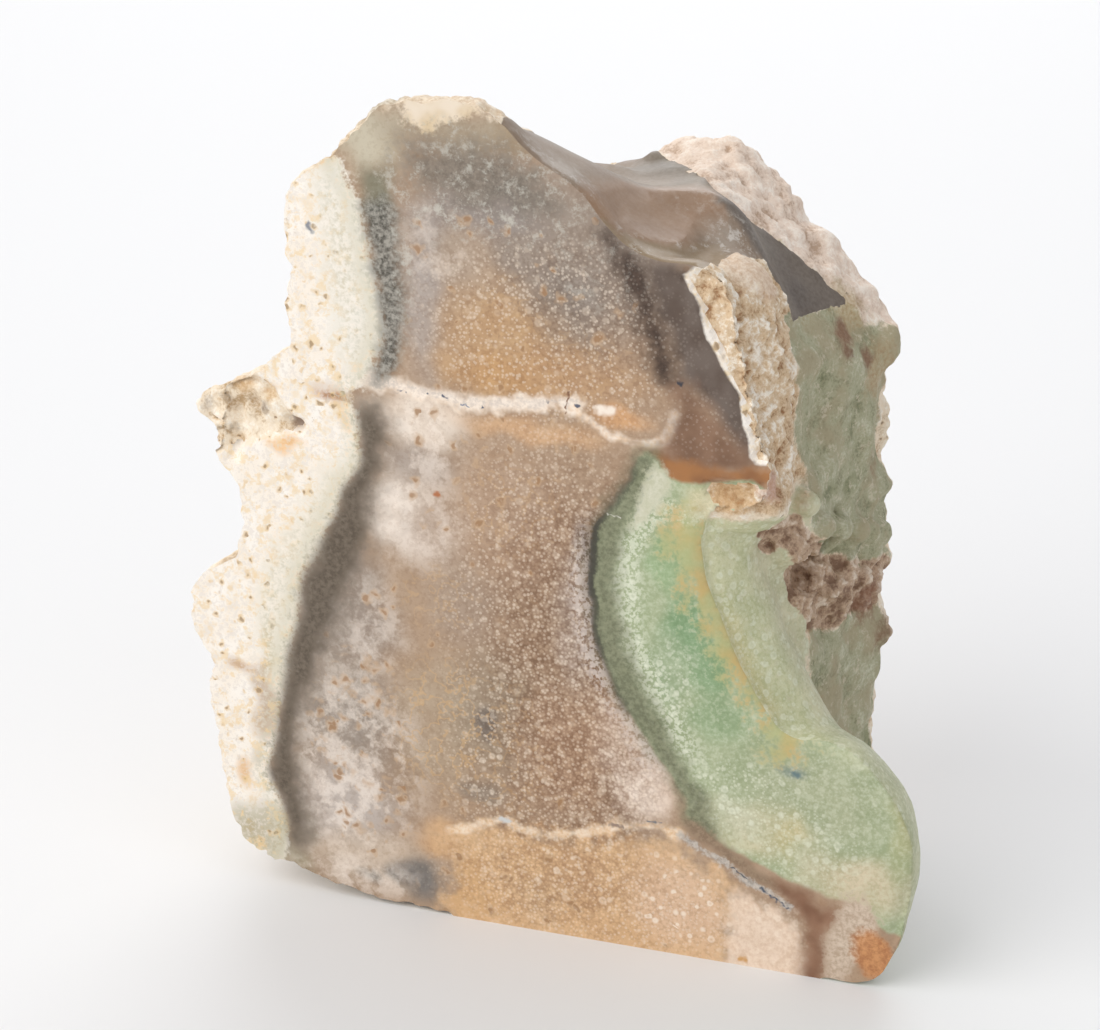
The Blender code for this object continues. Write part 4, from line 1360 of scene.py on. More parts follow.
def new_group(name, inputs, outputs):
    """An empty node group with named sockets, and its two end nodes."""
    group = bpy.data.node_groups.new(name, "ShaderNodeTree")
    kinds = {"colour": "NodeSocketColor", "number": "NodeSocketFloat", "place": "NodeSocketVector"}
    for label, kind in inputs.items():
        group.interface.new_socket(label, in_out="INPUT", socket_type=kinds[kind])
    for label, kind in outputs.items():
        group.interface.new_socket(label, in_out="OUTPUT", socket_type=kinds[kind])
    return group, group.nodes.new("NodeGroupInput").outputs, group.nodes.new("NodeGroupOutput").inputs


def use_group(tree, group, inputs):
    """A copy of a group in a tree, with its inputs by name."""
    node = tree.nodes.new("ShaderNodeGroup")
    node.node_tree = group
    for name, value in inputs.items():
        join(tree, value, node.inputs[name])
    return node


# %% [markdown]
# ## Effects that both materials use
# Both the sawn face and the natural sides have ragged zones, cut or standing balls, and
# pores.  Each of these is a node group, built once, with its own values in each material.

# %% The group for uneven fields
def uneven_fields():
    """Three noises that all edges and mottled tones share, so that they stay cheap."""
    group, given, result = new_group(
        "uneven fields", {"Place": "place"},
        {"Ragged": "number", "Frayed": "number", "Mottle": "number", "Fine": "number"})
    edge = noise_field(group, given["Place"], 0.62, 2.0, 0.5)
    slow = noise_field(group, given["Place"], 0.30, 2.0, 0.55)
    fine = noise_field(group, given["Place"], 2.1, 3.0, 0.66)
    ragged = centred(group, edge, 4.0)
    frayed = maths(group, "MULTIPLY_ADD", ragged, 0.7, centred(group, fine, 3.0))
    join(group, ragged, result["Ragged"])
    join(group, frayed, result["Frayed"])
    join(group, ramp(group, slow, 0.32, 0.68), result["Mottle"])
    join(group, ramp(group, fine, 0.30, 0.70), result["Fine"])
    return group


# %% The group for a zone of colour
def zone_of_colour():
    """Lays a mottled zone over the colour below, with an edge as ragged and soft as asked."""
    group, given, result = new_group(
        "zone of colour",
        {"Below": "colour", "Depth": "number", "Ragged": "number", "Wobble": "number",
         "Softness": "number", "Tone": "colour", "Second Tone": "colour", "Mottle": "number",
         "Strength": "number"},
        {"Colour": "colour", "Mask": "number"})
    edge = maths(group, "MULTIPLY_ADD", given["Ragged"], given["Wobble"], given["Depth"])
    mask = ramp(group, edge, times(group, given["Softness"], -0.5), times(group, given["Softness"], 0.5))
    mask = times(group, mask, given["Strength"])
    own = lay_over(group, given["Mottle"], given["Tone"], given["Second Tone"])
    join(group, lay_over(group, mask, given["Below"], own), result["Colour"])
    join(group, mask, result["Mask"])
    return group


# %% The groups for balls and for pores
def scattered_cells(tree, given, share, edge, smallest, spread):
    """The way to the cell's middle, the radius of its ball, and 1 in the share of cells with one."""
    cells = add_node(tree, "ShaderNodeTexVoronoi",
                     {"Vector": given["Place"], "Scale": given["Per Millimetre"]}, feature="F1")
    chances = add_node(tree, "ShaderNodeSeparateColor", {"Color": cells.outputs["Color"]})
    radius = maths(tree, "MULTIPLY_ADD", chances.outputs[0], spread, smallest)
    there = ramp(tree, maths(tree, "SUBTRACT", share, chances.outputs[1]), -edge, edge)
    return cells.outputs["Distance"], radius, there


def disc(tree, off, radius, outer, inner):
    """1 within the inner share of a cell's radius, 0 beyond the outer share."""
    return ramp(tree, off, times(tree, radius, outer), times(tree, radius, inner))


def balls_in_stone():
    """Tiny balls that the saw cut at all heights: their discs, their rims and the web between."""
    group, given, result = new_group(
        "balls in stone", {"Place": "place", "Per Millimetre": "number", "Fill": "number"},
        {"Disc": "number", "Rim": "number", "Web": "number"})
    off, radius, there = scattered_cells(
        group, given, given["Fill"], edge=0.05, smallest=0.22, spread=0.30)
    ball = disc(group, off, radius, 1.15, 0.70)
    core = disc(group, off, radius, 0.80, 0.30)
    join(group, times(group, ball, there), result["Disc"])
    join(group, times(group, maths(group, "SUBTRACT", ball, core), there), result["Rim"])
    join(group, ramp(group, off, 0.40, 0.66), result["Web"])
    return group


def pores_in_crust():
    """Small round pores in some cells, each with a stained halo."""
    group, given, result = new_group(
        "pores in crust", {"Place": "place", "Per Millimetre": "number", "Amount": "number"},
        {"Pore": "number", "Halo": "number"})
    off, radius, there = scattered_cells(
        group, given, given["Amount"], edge=0.03, smallest=0.20, spread=0.24)
    join(group, times(group, disc(group, off, radius, 1.0, 0.55), there), result["Pore"])
    join(group, times(group, disc(group, off, radius, 1.9, 0.9), there), result["Halo"])
    return group


FIELDS = uneven_fields()
ZONE = zone_of_colour()
BALLS = balls_in_stone()
PORES = pores_in_crust()
print("node groups:", [group.name for group in bpy.data.node_groups])

# %% [markdown]
# ## What both materials begin and end with
# Each material starts with its place in millimetres and the shared fields.  Zones are then
# laid over one another, and at the end colour, gloss and fine relief go to the shader.

# %% A material's first and last nodes
def shaken(tree, place, amount, per_millimetre):
    """The place moved about by noise, which turns a straight stroke or a disc into a natural one."""
    shake = add_node(tree, "ShaderNodeTexNoise", {"Vector": place, "Scale": per_millimetre, "Detail": 1.0})
    push = vector_maths(tree, "SUBTRACT", shake.outputs["Color"], (0.5, 0.5, 0.5))
    return vector_maths(tree, "ADD", place, vector_maths(tree, "SCALE", push, amount))


def begin_material(name):
    """A material with its place in millimetres, the same place shaken, and the shared fields."""
    made = bpy.data.materials.new(name)
    made.use_nodes = True
    tree = made.node_tree
    spot = add_node(tree, "ShaderNodeTexCoord")
    place = vector_maths(tree, "SCALE", spot.outputs["Object"], 1.0 / MM)
    fields = use_group(tree, FIELDS, {"Place": place}).outputs
    return made, tree, place, shaken(tree, place, 0.8, 1.4), fields


def lay_zone(tree, below, fields, name, tones, wobble, softness, strength=1.0,
             mottle="Mottle", edge="Ragged"):
    """Lays the zone with this attribute's name; a tone is a screen colour or a socket."""
    first, second = [tone(*given) if isinstance(given, tuple) else given for given in tones]
    depth = painted(tree, name) if isinstance(name, str) else name
    return use_group(tree, ZONE, {
        "Below": below, "Depth": depth, "Ragged": fields[edge], "Wobble": wobble,
        "Softness": softness, "Tone": first, "Second Tone": second, "Mottle": fields[mottle],
        "Strength": strength}).outputs


def finish_shader(made, colour, roughness, specular, height, strength, depth):
    """Gives colour, gloss and fine relief, of a depth in millimetres, to the material's shader."""
    tree = made.node_tree
    shader = tree.nodes["Principled BSDF"]
    shader.inputs["Specular IOR Level"].default_value = specular
    join(tree, colour, shader.inputs["Base Color"])
    join(tree, roughness, shader.inputs["Roughness"])
    bump = add_node(tree, "ShaderNodeBump", {"Height": height, "Strength": strength, "Distance": depth * MM})
    join(tree, bump.outputs["Normal"], shader.inputs["Normal"])


# %% [markdown]
# ## The sawn face
# On the real stone this face is ground flat and polished, so all its pattern is colour, and
# only pores and the soft rind are rough.  The zones are laid from the middle outwards, each
# over the last, the way a painter would.

# %% Small marks
# Start and end as x and z on the ruler, half the thickness, tone
SMALL_MARKS = [
    ((-13.3, 58.3), (-13.1, 58.3), 0.12, (96, 98, 108)),
    ((-11.4, 58.2), (-11.0, 58.1), 0.16, (84, 90, 108)),
    ((-9.4, 57.6), (-8.6, 57.5), 0.10, (128, 136, 152)),
    ((-7.3, 57.6), (-7.1, 57.6), 0.12, (88, 94, 110)),
    ((-16.5, 58.0), (-15.2, 58.3), 0.09, (140, 136, 140)),
    ((-0.4, 59.0), (-0.2, 59.0), 0.14, (96, 100, 112)),
    ((2.7, 59.1), (3.0, 59.1), 0.13, (96, 98, 110)),
    ((1.9, 60.2), (1.6, 58.2), 0.12, (128, 92, 70)),
    ((13.3, 62.7), (13.6, 62.6), 0.20, (62, 60, 66)),
    ((19.6, 11.0), (21.6, 9.9), 0.11, (96, 96, 100)),
    ((22.8, 9.25), (25.6, 7.4), 0.15, (84, 90, 102)),
    ((10.6, 14.7), (11.9, 14.7), 0.13, (124, 124, 124)),
    ((-5.6, 12.2), (-4.4, 12.2), 0.26, (206, 206, 204)),
    ((6.6, 13.6), (7.9, 13.6), 0.20, (150, 130, 116)),
    ((26.0, 22.7), (26.4, 22.5), 0.34, (106, 126, 126)),
    ((-12.3, 47.6), (-12.0, 47.5), 0.30, (176, 112, 74)),
    ((-25.6, 74.7), (-25.3, 73.9), 0.30, (140, 142, 148)),
    ((20.6, 0.7), (21.3, 0.7), 0.34, (204, 158, 104)),
    ((5.2, 58.9), (6.4, 58.9), 0.55, (246, 232, 216)),
    ((6.0, 48.0), (7.4, 47.7), 0.11, (222, 218, 206)),
]


def mark_on_face():
    """A short round-ended stroke between two places on the face."""
    group, given, result = new_group(
        "short stroke", {"Place": "place", "Start": "place", "Reach": "place", "Thickness": "number"},
        {"Mask": "number"})
    away = vector_maths(group, "SUBTRACT", given["Place"], given["Start"])
    share = maths(group, "DIVIDE", vector_maths(group, "DOT_PRODUCT", away, given["Reach"]),
                  vector_maths(group, "DOT_PRODUCT", given["Reach"], given["Reach"]))
    share.node.use_clamp = True
    nearest = vector_maths(group, "SCALE", given["Reach"], share)
    off = vector_maths(group, "LENGTH", vector_maths(group, "SUBTRACT", away, nearest))
    join(group, disc(group, off, given["Thickness"], 1.5, 0.3), result["Mask"])
    return group


STROKE = mark_on_face()


def lay_small_marks(tree, colour, moved):
    """Lays one stroke for each mark; the shaken place makes it look natural."""
    for start, end, thickness, mark_tone in SMALL_MARKS:
        begin = np.array((start[0], 0.0, start[1])) + SHIFT
        reach = (end[0] - start[0], 0.0, end[1] - start[1])
        mask = use_group(tree, STROKE, {
            "Place": moved, "Start": tuple(begin), "Reach": reach, "Thickness": thickness}).outputs["Mask"]
        colour = cover(tree, colour, mark_tone, mask)
    return colour


# %% [markdown]
# ## What each zone is made of
# The middle of the stone is tan agate full of tiny balls.  Two sizes of cells give them: a
# fine one everywhere and a coarser one here and there.  The web between the balls is darker
# and browner than the ground, and rust sits in some of the cells.

# %% Agate with its balls
def agate_colour(tree, place, moved, fields, fine, coarse, flecks):
    """The tan agate: drifting ground, milky clouds, brown lace, pale balls, rings and rust."""
    colour = painted(tree, "agate_ground", "Color")
    ground = painted(tree, "bottom_ground", "Color")
    colour = lay_zone(tree, colour, fields, "bottom", (ground, ground), 1.8, 3.4)["Colour"]
    colour = tint(tree, colour, (226, 213, 200), fields["Mottle"], 0.35)
    clouds = ramp(tree, noise_field(tree, moved, 0.42, 4.0, 0.60), 0.41, 0.62)
    misty = painted(tree, "clouds")
    colour = tint(tree, colour, (212, 213, 216), misty, maths(tree, "SUBTRACT", 1.0, clouds), 0.50)
    colour = cover(tree, colour, (234, 222, 210), clouds, misty, 0.62)
    colour = cover(tree, colour, (242, 232, 222), flecks, clouds, misty, 0.30)
    amount = painted(tree, "spherules")
    dark = maths(tree, "MULTIPLY_ADD", amount, 0.14, 0.18)
    colour = tint(tree, colour, (190, 168, 146), ramp(tree, fields["Fine"], 0.55, 0.10), dark)
    lace = ramp(tree, maths(tree, "ABSOLUTE", fields["Ragged"]), 0.17, 0.03)
    colour = cover(tree, colour, (208, 170, 122), lace, painted(tree, "lace"), 0.50)
    web = maths(tree, "MULTIPLY_ADD", painted(tree, "web"), 0.34, 0.06)
    colour = tint(tree, colour, (156, 122, 94), fine["Web"], amount, web)
    colour = cover(tree, colour, (234, 216, 195), fine["Disc"], amount, 0.32)
    colour = tint(tree, colour, (166, 134, 106), coarse["Web"], amount, web)
    colour = cover(tree, colour, (228, 208, 186), coarse["Disc"], amount, 0.24)
    rings = maths(tree, "MULTIPLY_ADD", painted(tree, "rings"), 0.55, times(tree, amount, 0.08))
    colour = cover(tree, colour, (242, 226, 208), coarse["Rim"], rings)
    colour = cover(tree, colour, (206, 198, 186), flecks, painted(tree, "flecks"), 0.40)
    specks = use_group(tree, PORES, {
        "Place": shaken(tree, place, 1.5, 0.9), "Per Millimetre": 0.80,
        "Amount": maths(tree, "MULTIPLY_ADD", painted(tree, "rust"), 0.70, 0.01)}).outputs
    colour = cover(tree, colour, (198, 166, 132), specks["Halo"], 0.50)
    return cover(tree, colour, (152, 112, 74), specks["Pore"], 0.68)


# %% Green zone with its orbs
def green_pattern(tree, fields, fine, coarse, ground, amount):
    """Green agate with pale orbs, on a ground that drifts from green to olive."""
    colour = tint(tree, ground, (198, 210, 190), fields["Mottle"], 0.40)
    colour = cover(tree, colour, (216, 220, 194), ramp(tree, fields["Fine"], 0.50, 0.95), 0.26)
    colour = tint(tree, colour, (196, 206, 180), ramp(tree, fields["Fine"], 0.48, 0.10), 0.26)
    colour = cover(tree, colour, (220, 223, 200), coarse["Disc"], amount, 0.50)
    colour = cover(tree, colour, (238, 238, 220), coarse["Rim"], amount, 0.34)
    return cover(tree, colour, (226, 228, 206), fine["Disc"], amount, 0.50)


def green_colour(tree, fields, fine, coarse):
    """The sawn green zone with its ochre streak."""
    ground = painted(tree, "green_ground", "Color")
    colour = green_pattern(tree, fields, fine, coarse, ground, painted(tree, "orbs"))
    crowded = times(tree, ramp(tree, fields["Fine"], 0.40, 0.60), painted(tree, "orb_band"), 0.55)
    colour = cover(tree, colour, (224, 227, 206), crowded)
    return lay_zone(tree, colour, fields, "ochre_streak", ((198, 166, 100), (178, 180, 128)),
                    2.4, 3.2, 0.80, "Mottle", "Frayed")["Colour"]


def lay_rim(tree, colour, fields):
    """The olive rim of the green zone, with its black line and the speckled halo outside it."""
    depth = painted(tree, "green")
    rim = maths(tree, "ADD", painted(tree, "green_rim"), 0.45)
    colour = lay_zone(tree, colour, fields, rim, ((98, 98, 77), (128, 129, 101)), 0.50, 2.6, 0.84,
                      "Fine")["Colour"]
    outside = times(tree, ramp(tree, depth, -3.2, -1.2), ramp(tree, depth, 0.1, -0.4))
    halo = times(tree, outside, painted(tree, "rim_halo"), ramp(tree, fields["Fine"], 0.30, 0.62), 0.62)
    colour = cover(tree, colour, (222, 210, 202), halo)
    dark = times(tree, ramp(tree, depth, -2.0, -0.4), ramp(tree, depth, 0.8, 0.0), painted(tree, "rim_shade"))
    colour = tint(tree, colour, (150, 138, 126), dark, 0.55)
    wavy = maths(tree, "MULTIPLY_ADD", fields["Frayed"], 0.22, depth)
    line = times(tree, ramp(tree, wavy, -0.55, -0.15), ramp(tree, wavy, 0.55, 0.15))
    return cover(tree, colour, (62, 60, 53), line, painted(tree, "rim_shade"), 0.85)


# %% Rind cut by the saw
def rind_colour(tree, moved, fields):
    """Cream rind: warm white, blotched with ochre and grey, with dark pores in stained halos."""
    colour = painted(tree, "rind_ground", "Color")
    colour = tint(tree, colour, (249, 242, 232), fields["Mottle"], 0.60)
    colour = cover(tree, colour, (226, 216, 205), ramp(tree, fields["Fine"], 0.45, 0.90), 0.55)
    colour = tint(tree, colour, (240, 226, 200), ramp(tree, fields["Frayed"], 0.0, -0.8), 0.60)
    ochre = ramp(tree, noise_field(tree, moved, 0.55, 4.0, 0.70), 0.53, 0.62)
    colour = cover(tree, colour, (236, 208, 160), ochre, 0.60)
    worn = ramp(tree, fields["Frayed"], 0.75, 1.30)
    colour = cover(tree, colour, (198, 176, 150), worn, 0.55)
    pores = use_group(tree, PORES, {"Place": moved, "Per Millimetre": 1.15, "Amount": 0.20}).outputs
    colour = cover(tree, colour, (226, 194, 142), pores["Halo"], 0.60)
    colour = cover(tree, colour, (150, 122, 92), pores["Pore"], 0.70)
    return colour, pores["Pore"]


# %% The material of the sawn face
# Attribute, two tones, wobble and softness in millimetres, strength, fields of edge and mottling
PALE_ZONES = [
    ("pale_margin", (198, 194, 174), (246, 239, 226), 1.6, 3.0, 0.62, "Frayed", "Fine"),
    ("pale_margin_low", (196, 190, 166), (246, 237, 220), 1.5, 2.8, 0.62, "Frayed", "Fine"),
]
MIDDLE_ZONES = [
    ("dark_arch", (106, 99, 89), (134, 124, 112), 1.6, 4.6, 0.85, "Frayed", "Fine"),
    ("cap", (236, 221, 200), (216, 192, 154), 1.0, 1.6, 0.95, "Frayed", "Mottle"),
    ("upper_seam", (252, 238, 222), (240, 218, 194), 0.60, 1.0, 0.92, "Ragged", "Fine"),
    ("seam_dots", (240, 226, 212), (196, 190, 186), 0.50, 0.8, 0.55, "Frayed", "Fine"),
    ("seam_branch", (250, 235, 218), (238, 210, 180), 0.45, 0.8, 0.88, "Ragged", "Fine"),
    ("lower_seam", (248, 230, 208), (228, 192, 150), 0.50, 0.9, 0.82, "Ragged", "Fine"),
    ("black_band", (66, 66, 60), (160, 156, 146), 0.60, 2.0, 0.93, "Frayed", "Fine"),
    ("dark_band", (84, 73, 60), (112, 100, 86), 0.70, 2.2, 0.95, "Frayed", "Fine"),
    ("wedge", (92, 77, 67), (110, 97, 88), 0.25, 2.4, 1.00, "Ragged", "Mottle"),
    ("brown_edge", (58, 44, 36), (80, 62, 51), 0.60, 3.0, 0.96, "Ragged", "Fine"),
    ("purple", (118, 87, 66), (138, 106, 84), 0.70, 3.2, 0.95, "Ragged", "Mottle"),
    ("amber", (166, 114, 68), (138, 94, 60), 0.40, 1.3, 0.97, "Ragged", "Mottle"),
]
FOOT_ZONES = [
    ("white_finger", (220, 216, 196), (196, 194, 166), 0.60, 1.1, 0.85, "Frayed", "Fine"),
    ("cream_foot", (244, 222, 200), (226, 198, 172), 0.80, 1.8, 0.85, "Ragged", "Fine"),
    ("dark_seam", (126, 104, 84), (154, 132, 108), 0.50, 1.2, 0.88, "Frayed", "Fine"),
    ("red_brown", (144, 106, 82), (120, 82, 60), 0.50, 2.4, 0.92, "Ragged", "Mottle"),
    ("blue_seam", (158, 156, 152), (206, 198, 188), 0.35, 0.5, 0.80, "Frayed", "Fine"),
    ("white_corner", (216, 198, 178), (182, 160, 138), 0.70, 1.2, 0.92, "Frayed", "Fine"),
    ("rust_spot", (206, 148, 98), (172, 114, 72), 0.50, 1.2, 0.95, "Frayed", "Fine"),
]
POLISH_ROUGHNESS = 0.32
RIND_ROUGHNESS = 0.62


def lay_zones(tree, colour, fields, zones):
    for name, first, second, wobble, softness, strength, edge, mottle in zones:
        colour = lay_zone(tree, colour, fields, name, (first, second), wobble, softness, strength,
                          mottle, edge)["Colour"]
    return colour


def sawn_agate():
    """The finish of the sawn face, laid from the middle of the stone outwards."""
    made, tree, place, moved, fields = begin_material("sawn agate")
    fine = use_group(tree, BALLS, {"Place": place, "Per Millimetre": 2.7, "Fill": 0.70}).outputs
    coarse = use_group(tree, BALLS, {"Place": place, "Per Millimetre": 1.0, "Fill": 0.66}).outputs
    flecks = ramp(tree, noise_field(tree, place, 0.60, 6.0, 0.78), 0.50, 0.66)
    colour = agate_colour(tree, place, moved, fields, fine, coarse, flecks)
    wide = maths(tree, "ADD", painted(tree, "dark_band"), 1.3)
    colour = lay_zone(tree, colour, fields, wide, ((126, 113, 98), (142, 130, 118)), 0.8, 3.6, 0.70)["Colour"]
    cream, pore = rind_colour(tree, moved, fields)
    rind = lay_zone(tree, colour, fields, "rind", (cream, cream), 0.7, 1.0, edge="Frayed")
    colour = lay_zones(tree, rind["Colour"], fields, PALE_ZONES)
    beside = maths(tree, "ADD", painted(tree, "rind"), -0.5)
    beside = times(tree, ramp(tree, beside, -0.8, 0.0), ramp(tree, beside, 2.2, 0.2), fields["Fine"], 0.60)
    colour = cover(tree, colour, (192, 187, 158), beside)
    colour = lay_zones(tree, colour, fields, MIDDLE_ZONES)
    colour = cover(tree, colour, (222, 208, 192), fine["Disc"], painted(tree, "spherules"), 0.16)
    colour = cover(tree, colour, (198, 194, 182), flecks, painted(tree, "flecks"), 0.62)
    white = lay_zone(tree, colour, fields, "white_edge", (cream, cream), 0.20, 0.35)
    green = green_colour(tree, fields, fine, coarse)
    colour = lay_zone(tree, white["Colour"], fields, "green", (green, green), 0.20, 0.6)["Colour"]
    colour = lay_rim(tree, colour, fields)
    colour = lay_zones(tree, colour, fields, FOOT_ZONES)
    colour = cover(tree, colour, (246, 232, 214), coarse["Rim"], painted(tree, "rings"), 0.40)
    colour = lay_small_marks(tree, colour, moved)
    soft_part = maths(tree, "MAXIMUM", rind["Mask"], white["Mask"])
    pits = maths(tree, "SUBTRACT", 1.0, times(tree, pore, soft_part))
    roughness = maths(tree, "MULTIPLY_ADD", soft_part, RIND_ROUGHNESS - POLISH_ROUGHNESS, POLISH_ROUGHNESS)
    finish_shader(made, colour, roughness, specular=0.32, height=pits, strength=0.5, depth=0.1)
    return made


# %% [markdown]
# ## The natural sides
# The outside shows how the stone grew and broke: cream and ochre rind, a pinkish rim, sugary
# crust, rough green stone, a waxy green flank and smoky glassy fractures.  Their masks were
# worked out with the form.  How far the relief moved a point out is stored as well: the hollows
# are darker, partly ochre and partly painted shade, and the tops lighter, a painted highlight.

# %% Crust on the outside
def crust_on_stone():
    """Crust colour from hollow to top with painted shade and highlight, and its fine grain's height."""
    group, given, result = new_group(
        "crust on stone",
        {"Place": "place", "Lift": "number", "Top": "colour", "Flank": "colour", "Hollow": "colour"},
        {"Colour": "colour", "Grain": "number"})
    patches = noise_field(group, given["Place"], 0.5, 3.0, 0.65)
    grain = noise_field(group, given["Place"], 3.2, 3.0, 0.7)
    level = maths(group, "ADD", given["Lift"], centred(group, patches, 1.6))
    level = maths(group, "ADD", level, centred(group, grain, 1.2))
    colour = lay_over(group, ramp(group, level, -0.55, -0.02), given["Hollow"], given["Flank"])
    colour = lay_over(group, ramp(group, level, -0.05, 0.45), colour, given["Top"])
    join(group, colour, result["Colour"])
    join(group, grain, result["Grain"])
    return group


CRUST = crust_on_stone()


# %% The material of the natural sides
# Hollow tones are partly the crust's ochre and partly painted shade; top tones are a painted highlight.
# Mask, top, flank and hollow of each crust
CRUSTS = [
    ("rim", (251, 238, 223), (236, 215, 196), (194, 166, 142)),
    ("strip", (252, 242, 226), (220, 193, 158), (160, 118, 80)),
    ("split", (232, 214, 194), (194, 166, 140), (140, 110, 88)),
]
CRUST_ROUGHNESS = 0.66
GLASS_ROUGHNESS = 0.40
STAIN_FROM = 0.46


def rough_green_colour(tree, place, green, flecks):
    """Rough green stone: brown and deeper green drifts over its crust, and pale flecks."""
    slow = noise_field(tree, place, 0.17)
    green = cover(tree, green, (172, 158, 128), ramp(tree, slow, 0.46, 0.62), 0.70)
    green = tint(tree, green, (196, 204, 182), ramp(tree, slow, 0.44, 0.30), 0.60)
    return cover(tree, green, (208, 198, 174), ramp(tree, flecks, 0.55, 0.64), 0.6)


def smoky_colour(tree, fields, flecks):
    """Smoky glass with shell tones and painted shade, speckled white where frosted and by a painted
    highlight.
    """
    smoke = painted(tree, "glass_tone", "Color")
    smoke = tint(tree, smoke, (214, 204, 194), fields["Mottle"], 0.35)
    smoke = cover(tree, smoke, (220, 210, 200), fields["Fine"], 0.08)
    white_speckles = ramp(tree, flecks, 0.50, 0.62)
    # whitens the frosted places and the painted highlight along the bench's edge
    return cover(tree, smoke, (218, 211, 202), white_speckles, painted(tree, "frost_and_edge_highlight"), 0.70)


def natural_stone():
    """The finish of all sides but the sawn one: rind first, then each kind of surface over it."""
    made, tree, place, moved, fields = begin_material("natural stone")
    lift = painted(tree, "lift")

    def crust(top, flank, hollow):
        return use_group(tree, CRUST, {
            "Place": place, "Lift": lift, "Top": tone(*top), "Flank": tone(*flank),
            "Hollow": tone(*hollow)}).outputs

    def lay_kind(below, name, colour, wobble=0.26, softness=0.45):
        """Lays one colour wherever the mask of this name is above one half."""
        depth = maths(tree, "SUBTRACT", painted(tree, name), 0.5)
        return lay_zone(tree, below, fields, depth, (colour, colour), wobble, softness, edge="Frayed")

    # Each crust is darker in its hollows and lighter on its tops: painted shade and highlight, with some real
    # ochre.
    rind = crust((251, 242, 227), (238, 221, 196), (188, 158, 120))
    pores = use_group(tree, PORES, {"Place": moved, "Per Millimetre": 1.4, "Amount": 0.14}).outputs
    colour = cover(tree, rind["Colour"], (206, 168, 116), pores["Halo"], 0.4)
    colour = cover(tree, colour, (136, 112, 90), pores["Pore"], 0.75)
    for name, top, flank, hollow in CRUSTS:
        colour = lay_kind(colour, name, crust(top, flank, hollow)["Colour"])["Colour"]
    flecks = noise_field(tree, place, 0.8, 5.0, 0.76)
    green = crust((204, 202, 178), (174, 171, 141), (134, 134, 104))["Colour"]
    colour = lay_kind(colour, "rough_green", rough_green_colour(tree, place, green, flecks))["Colour"]
    # the flank's tones hold a painted highlight
    flank = painted(tree, "flank_tone", "Color")
    fine = use_group(tree, BALLS, {"Place": place, "Per Millimetre": 2.4, "Fill": 0.66}).outputs
    coarse = use_group(tree, BALLS, {"Place": place, "Per Millimetre": 1.0, "Fill": 0.66}).outputs
    waxy = lay_kind(colour, "wax", green_pattern(tree, fields, fine, coarse, flank, 0.62))
    stain_depth = maths(tree, "SUBTRACT", painted(tree, "stain"), STAIN_FROM)
    stained = tint(tree, painted(tree, "stain_tone", "Color"), (222, 204, 186), fields["Fine"])
    colour = lay_zone(tree, waxy["Colour"], fields, stain_depth, (stained, stained), 0.30, 0.9, 0.80,
                      edge="Frayed")["Colour"]
    glassy = lay_kind(colour, "glass", smoky_colour(tree, fields, flecks), 0.10, 0.14)
    smooth = maths(tree, "MAXIMUM", glassy["Mask"], times(tree, waxy["Mask"], 0.6))
    roughness = maths(tree, "MULTIPLY_ADD", smooth, GLASS_ROUGHNESS - CRUST_ROUGHNESS, CRUST_ROUGHNESS)
    grain = times(tree, rind["Grain"], maths(tree, "SUBTRACT", 1.0, smooth))
    finish_shader(made, glassy["Colour"], roughness, specular=0.30, height=grain, strength=0.7, depth=0.16)
    return made


mesh.materials.append(natural_stone())
mesh.materials.append(sawn_agate())
tell("materials made")

# %% [markdown]
# ## The floor
# A photographer's table is a large pale sheet without a horizon.  A wide plane does that
# here, because the camera looks down at it.  It is stage, and no part of the object.

# %% Floor
def floor_material():
    made = bpy.data.materials.new("pale table")
    made.use_nodes = True
    shader = made.node_tree.nodes["Principled BSDF"]
    shader.inputs["Base Color"].default_value = (0.80, 0.795, 0.79, 1.0)
    shader.inputs["Roughness"].default_value = 0.55
    shader.inputs["Specular IOR Level"].default_value = 0.3
    return made


bpy.ops.mesh.primitive_plane_add(size=6.0, location=(0.0, 0.0, low.z))
floor = bpy.context.object
floor.name = "table"
floor.data.materials.append(floor_material())
floor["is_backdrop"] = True
print("the table lies at", round(low.z / MM, 2), "mm")

# %% [markdown]
# ## Soft studio light
# The shadows in the photograph are weak and the highlights broad, so the light comes from
# large soft sources: a main one high on the left, a weak one from the right, one from behind
# that lights the top, and a bright surrounding that fills the rest.  Wide area lights give the
# same soft edges.

# %% Lights
LIT_PLACE = Vector((0.0, 0.0, 0.04))


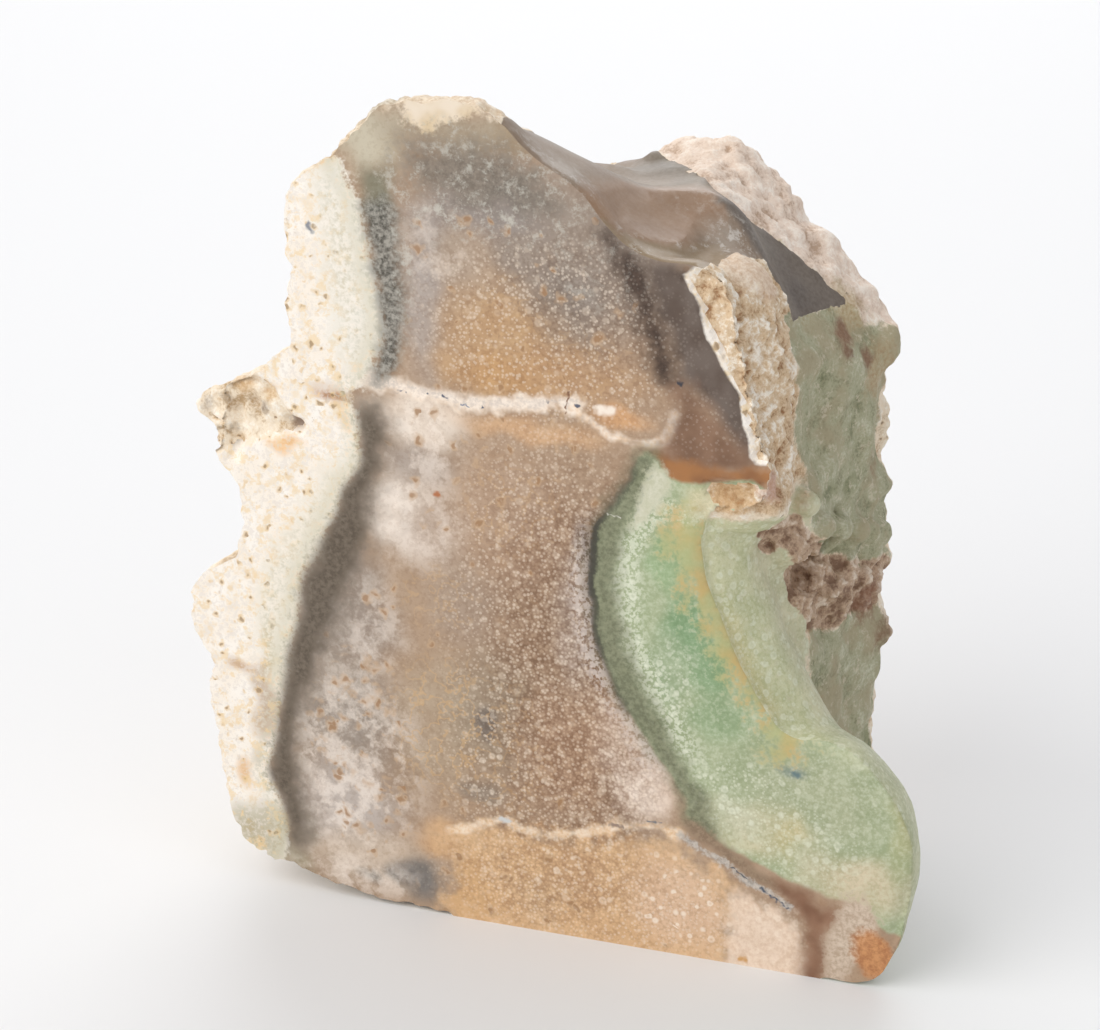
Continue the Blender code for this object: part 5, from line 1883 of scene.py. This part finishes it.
def aim(thing, middle, azimuth, elevation, distance):
    """Puts a lamp or a camera in front of a place, by angles in degrees, and turns it there."""
    turn, rise = math.radians(azimuth), math.radians(elevation)
    back = Vector((math.sin(turn) * math.cos(rise), -math.cos(turn) * math.cos(rise), math.sin(rise)))
    thing.location = middle + back * distance
    thing.rotation_euler = back.to_track_quat("Z", "Y").to_euler()
    bpy.context.scene.collection.objects.link(thing)


def soft_light(name, azimuth, elevation, distance, size, power, colour):
    lamp = bpy.data.objects.new(name, bpy.data.lights.new(name, "AREA"))
    lamp.data.shape = "DISK"
    lamp.data.size = size
    lamp.data.energy = power
    lamp.data.color = colour
    aim(lamp, LIT_PLACE, azimuth, elevation, distance)


soft_light("main light", -38, 37, 0.9, 1.0, 5.7, (1.0, 0.985, 0.96))
soft_light("fill light", 55, 35, 1.0, 0.8, 1.0, (0.97, 0.98, 1.0))
soft_light("back light", 196, 34, 1.0, 1.0, 4.9, (1.0, 1.0, 1.0))
world = bpy.data.worlds.new("bright room")
world.use_nodes = True
room = world.node_tree.nodes["Background"]
room.inputs["Color"].default_value = (0.93, 0.95, 1.0, 1.0)
room.inputs["Strength"].default_value = 0.55
bpy.context.scene.world = world
bpy.context.scene.view_settings.view_transform = "Standard"
print("lamps:", [lamp.name for lamp in bpy.data.lights])

# %% [markdown]
# ## The camera
# The view is from a little to the right and from above, with a long lens, as the shape of the
# sawn face in the photograph tells.

# %% Camera
AZIMUTH = 20.0
ELEVATION = 22.0
DISTANCE = 400.0           # from the camera to the middle of the sawn face
FIELD = 110.0              # width of the picture at that distance
LOOKED_AT = (0.0, 0.0, 46.986)

camera = bpy.data.objects.new("camera", bpy.data.cameras.new("camera"))
camera.data.sensor_width = 36.0
camera.data.lens = camera.data.sensor_width * DISTANCE / FIELD
camera.data.clip_start = 0.01
aim(camera, to_scene(LOOKED_AT), AZIMUTH, ELEVATION, DISTANCE * MM)
bpy.context.scene.camera = camera
print("the lens is", round(camera.data.lens, 1), "mm long")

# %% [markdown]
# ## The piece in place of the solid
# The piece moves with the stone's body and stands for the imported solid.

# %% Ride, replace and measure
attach(piece, "root")
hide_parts("agate_stone")
own_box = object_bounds()
sizes = {
    "cad": [list(corner) for corner in cad_box],
    "visual": [list(corner) for corner in own_box],
}
for name, corners in sizes.items():
    print(name, [[round(1000 * value, 2) for value in corner] for corner in corners])
tell("all made")
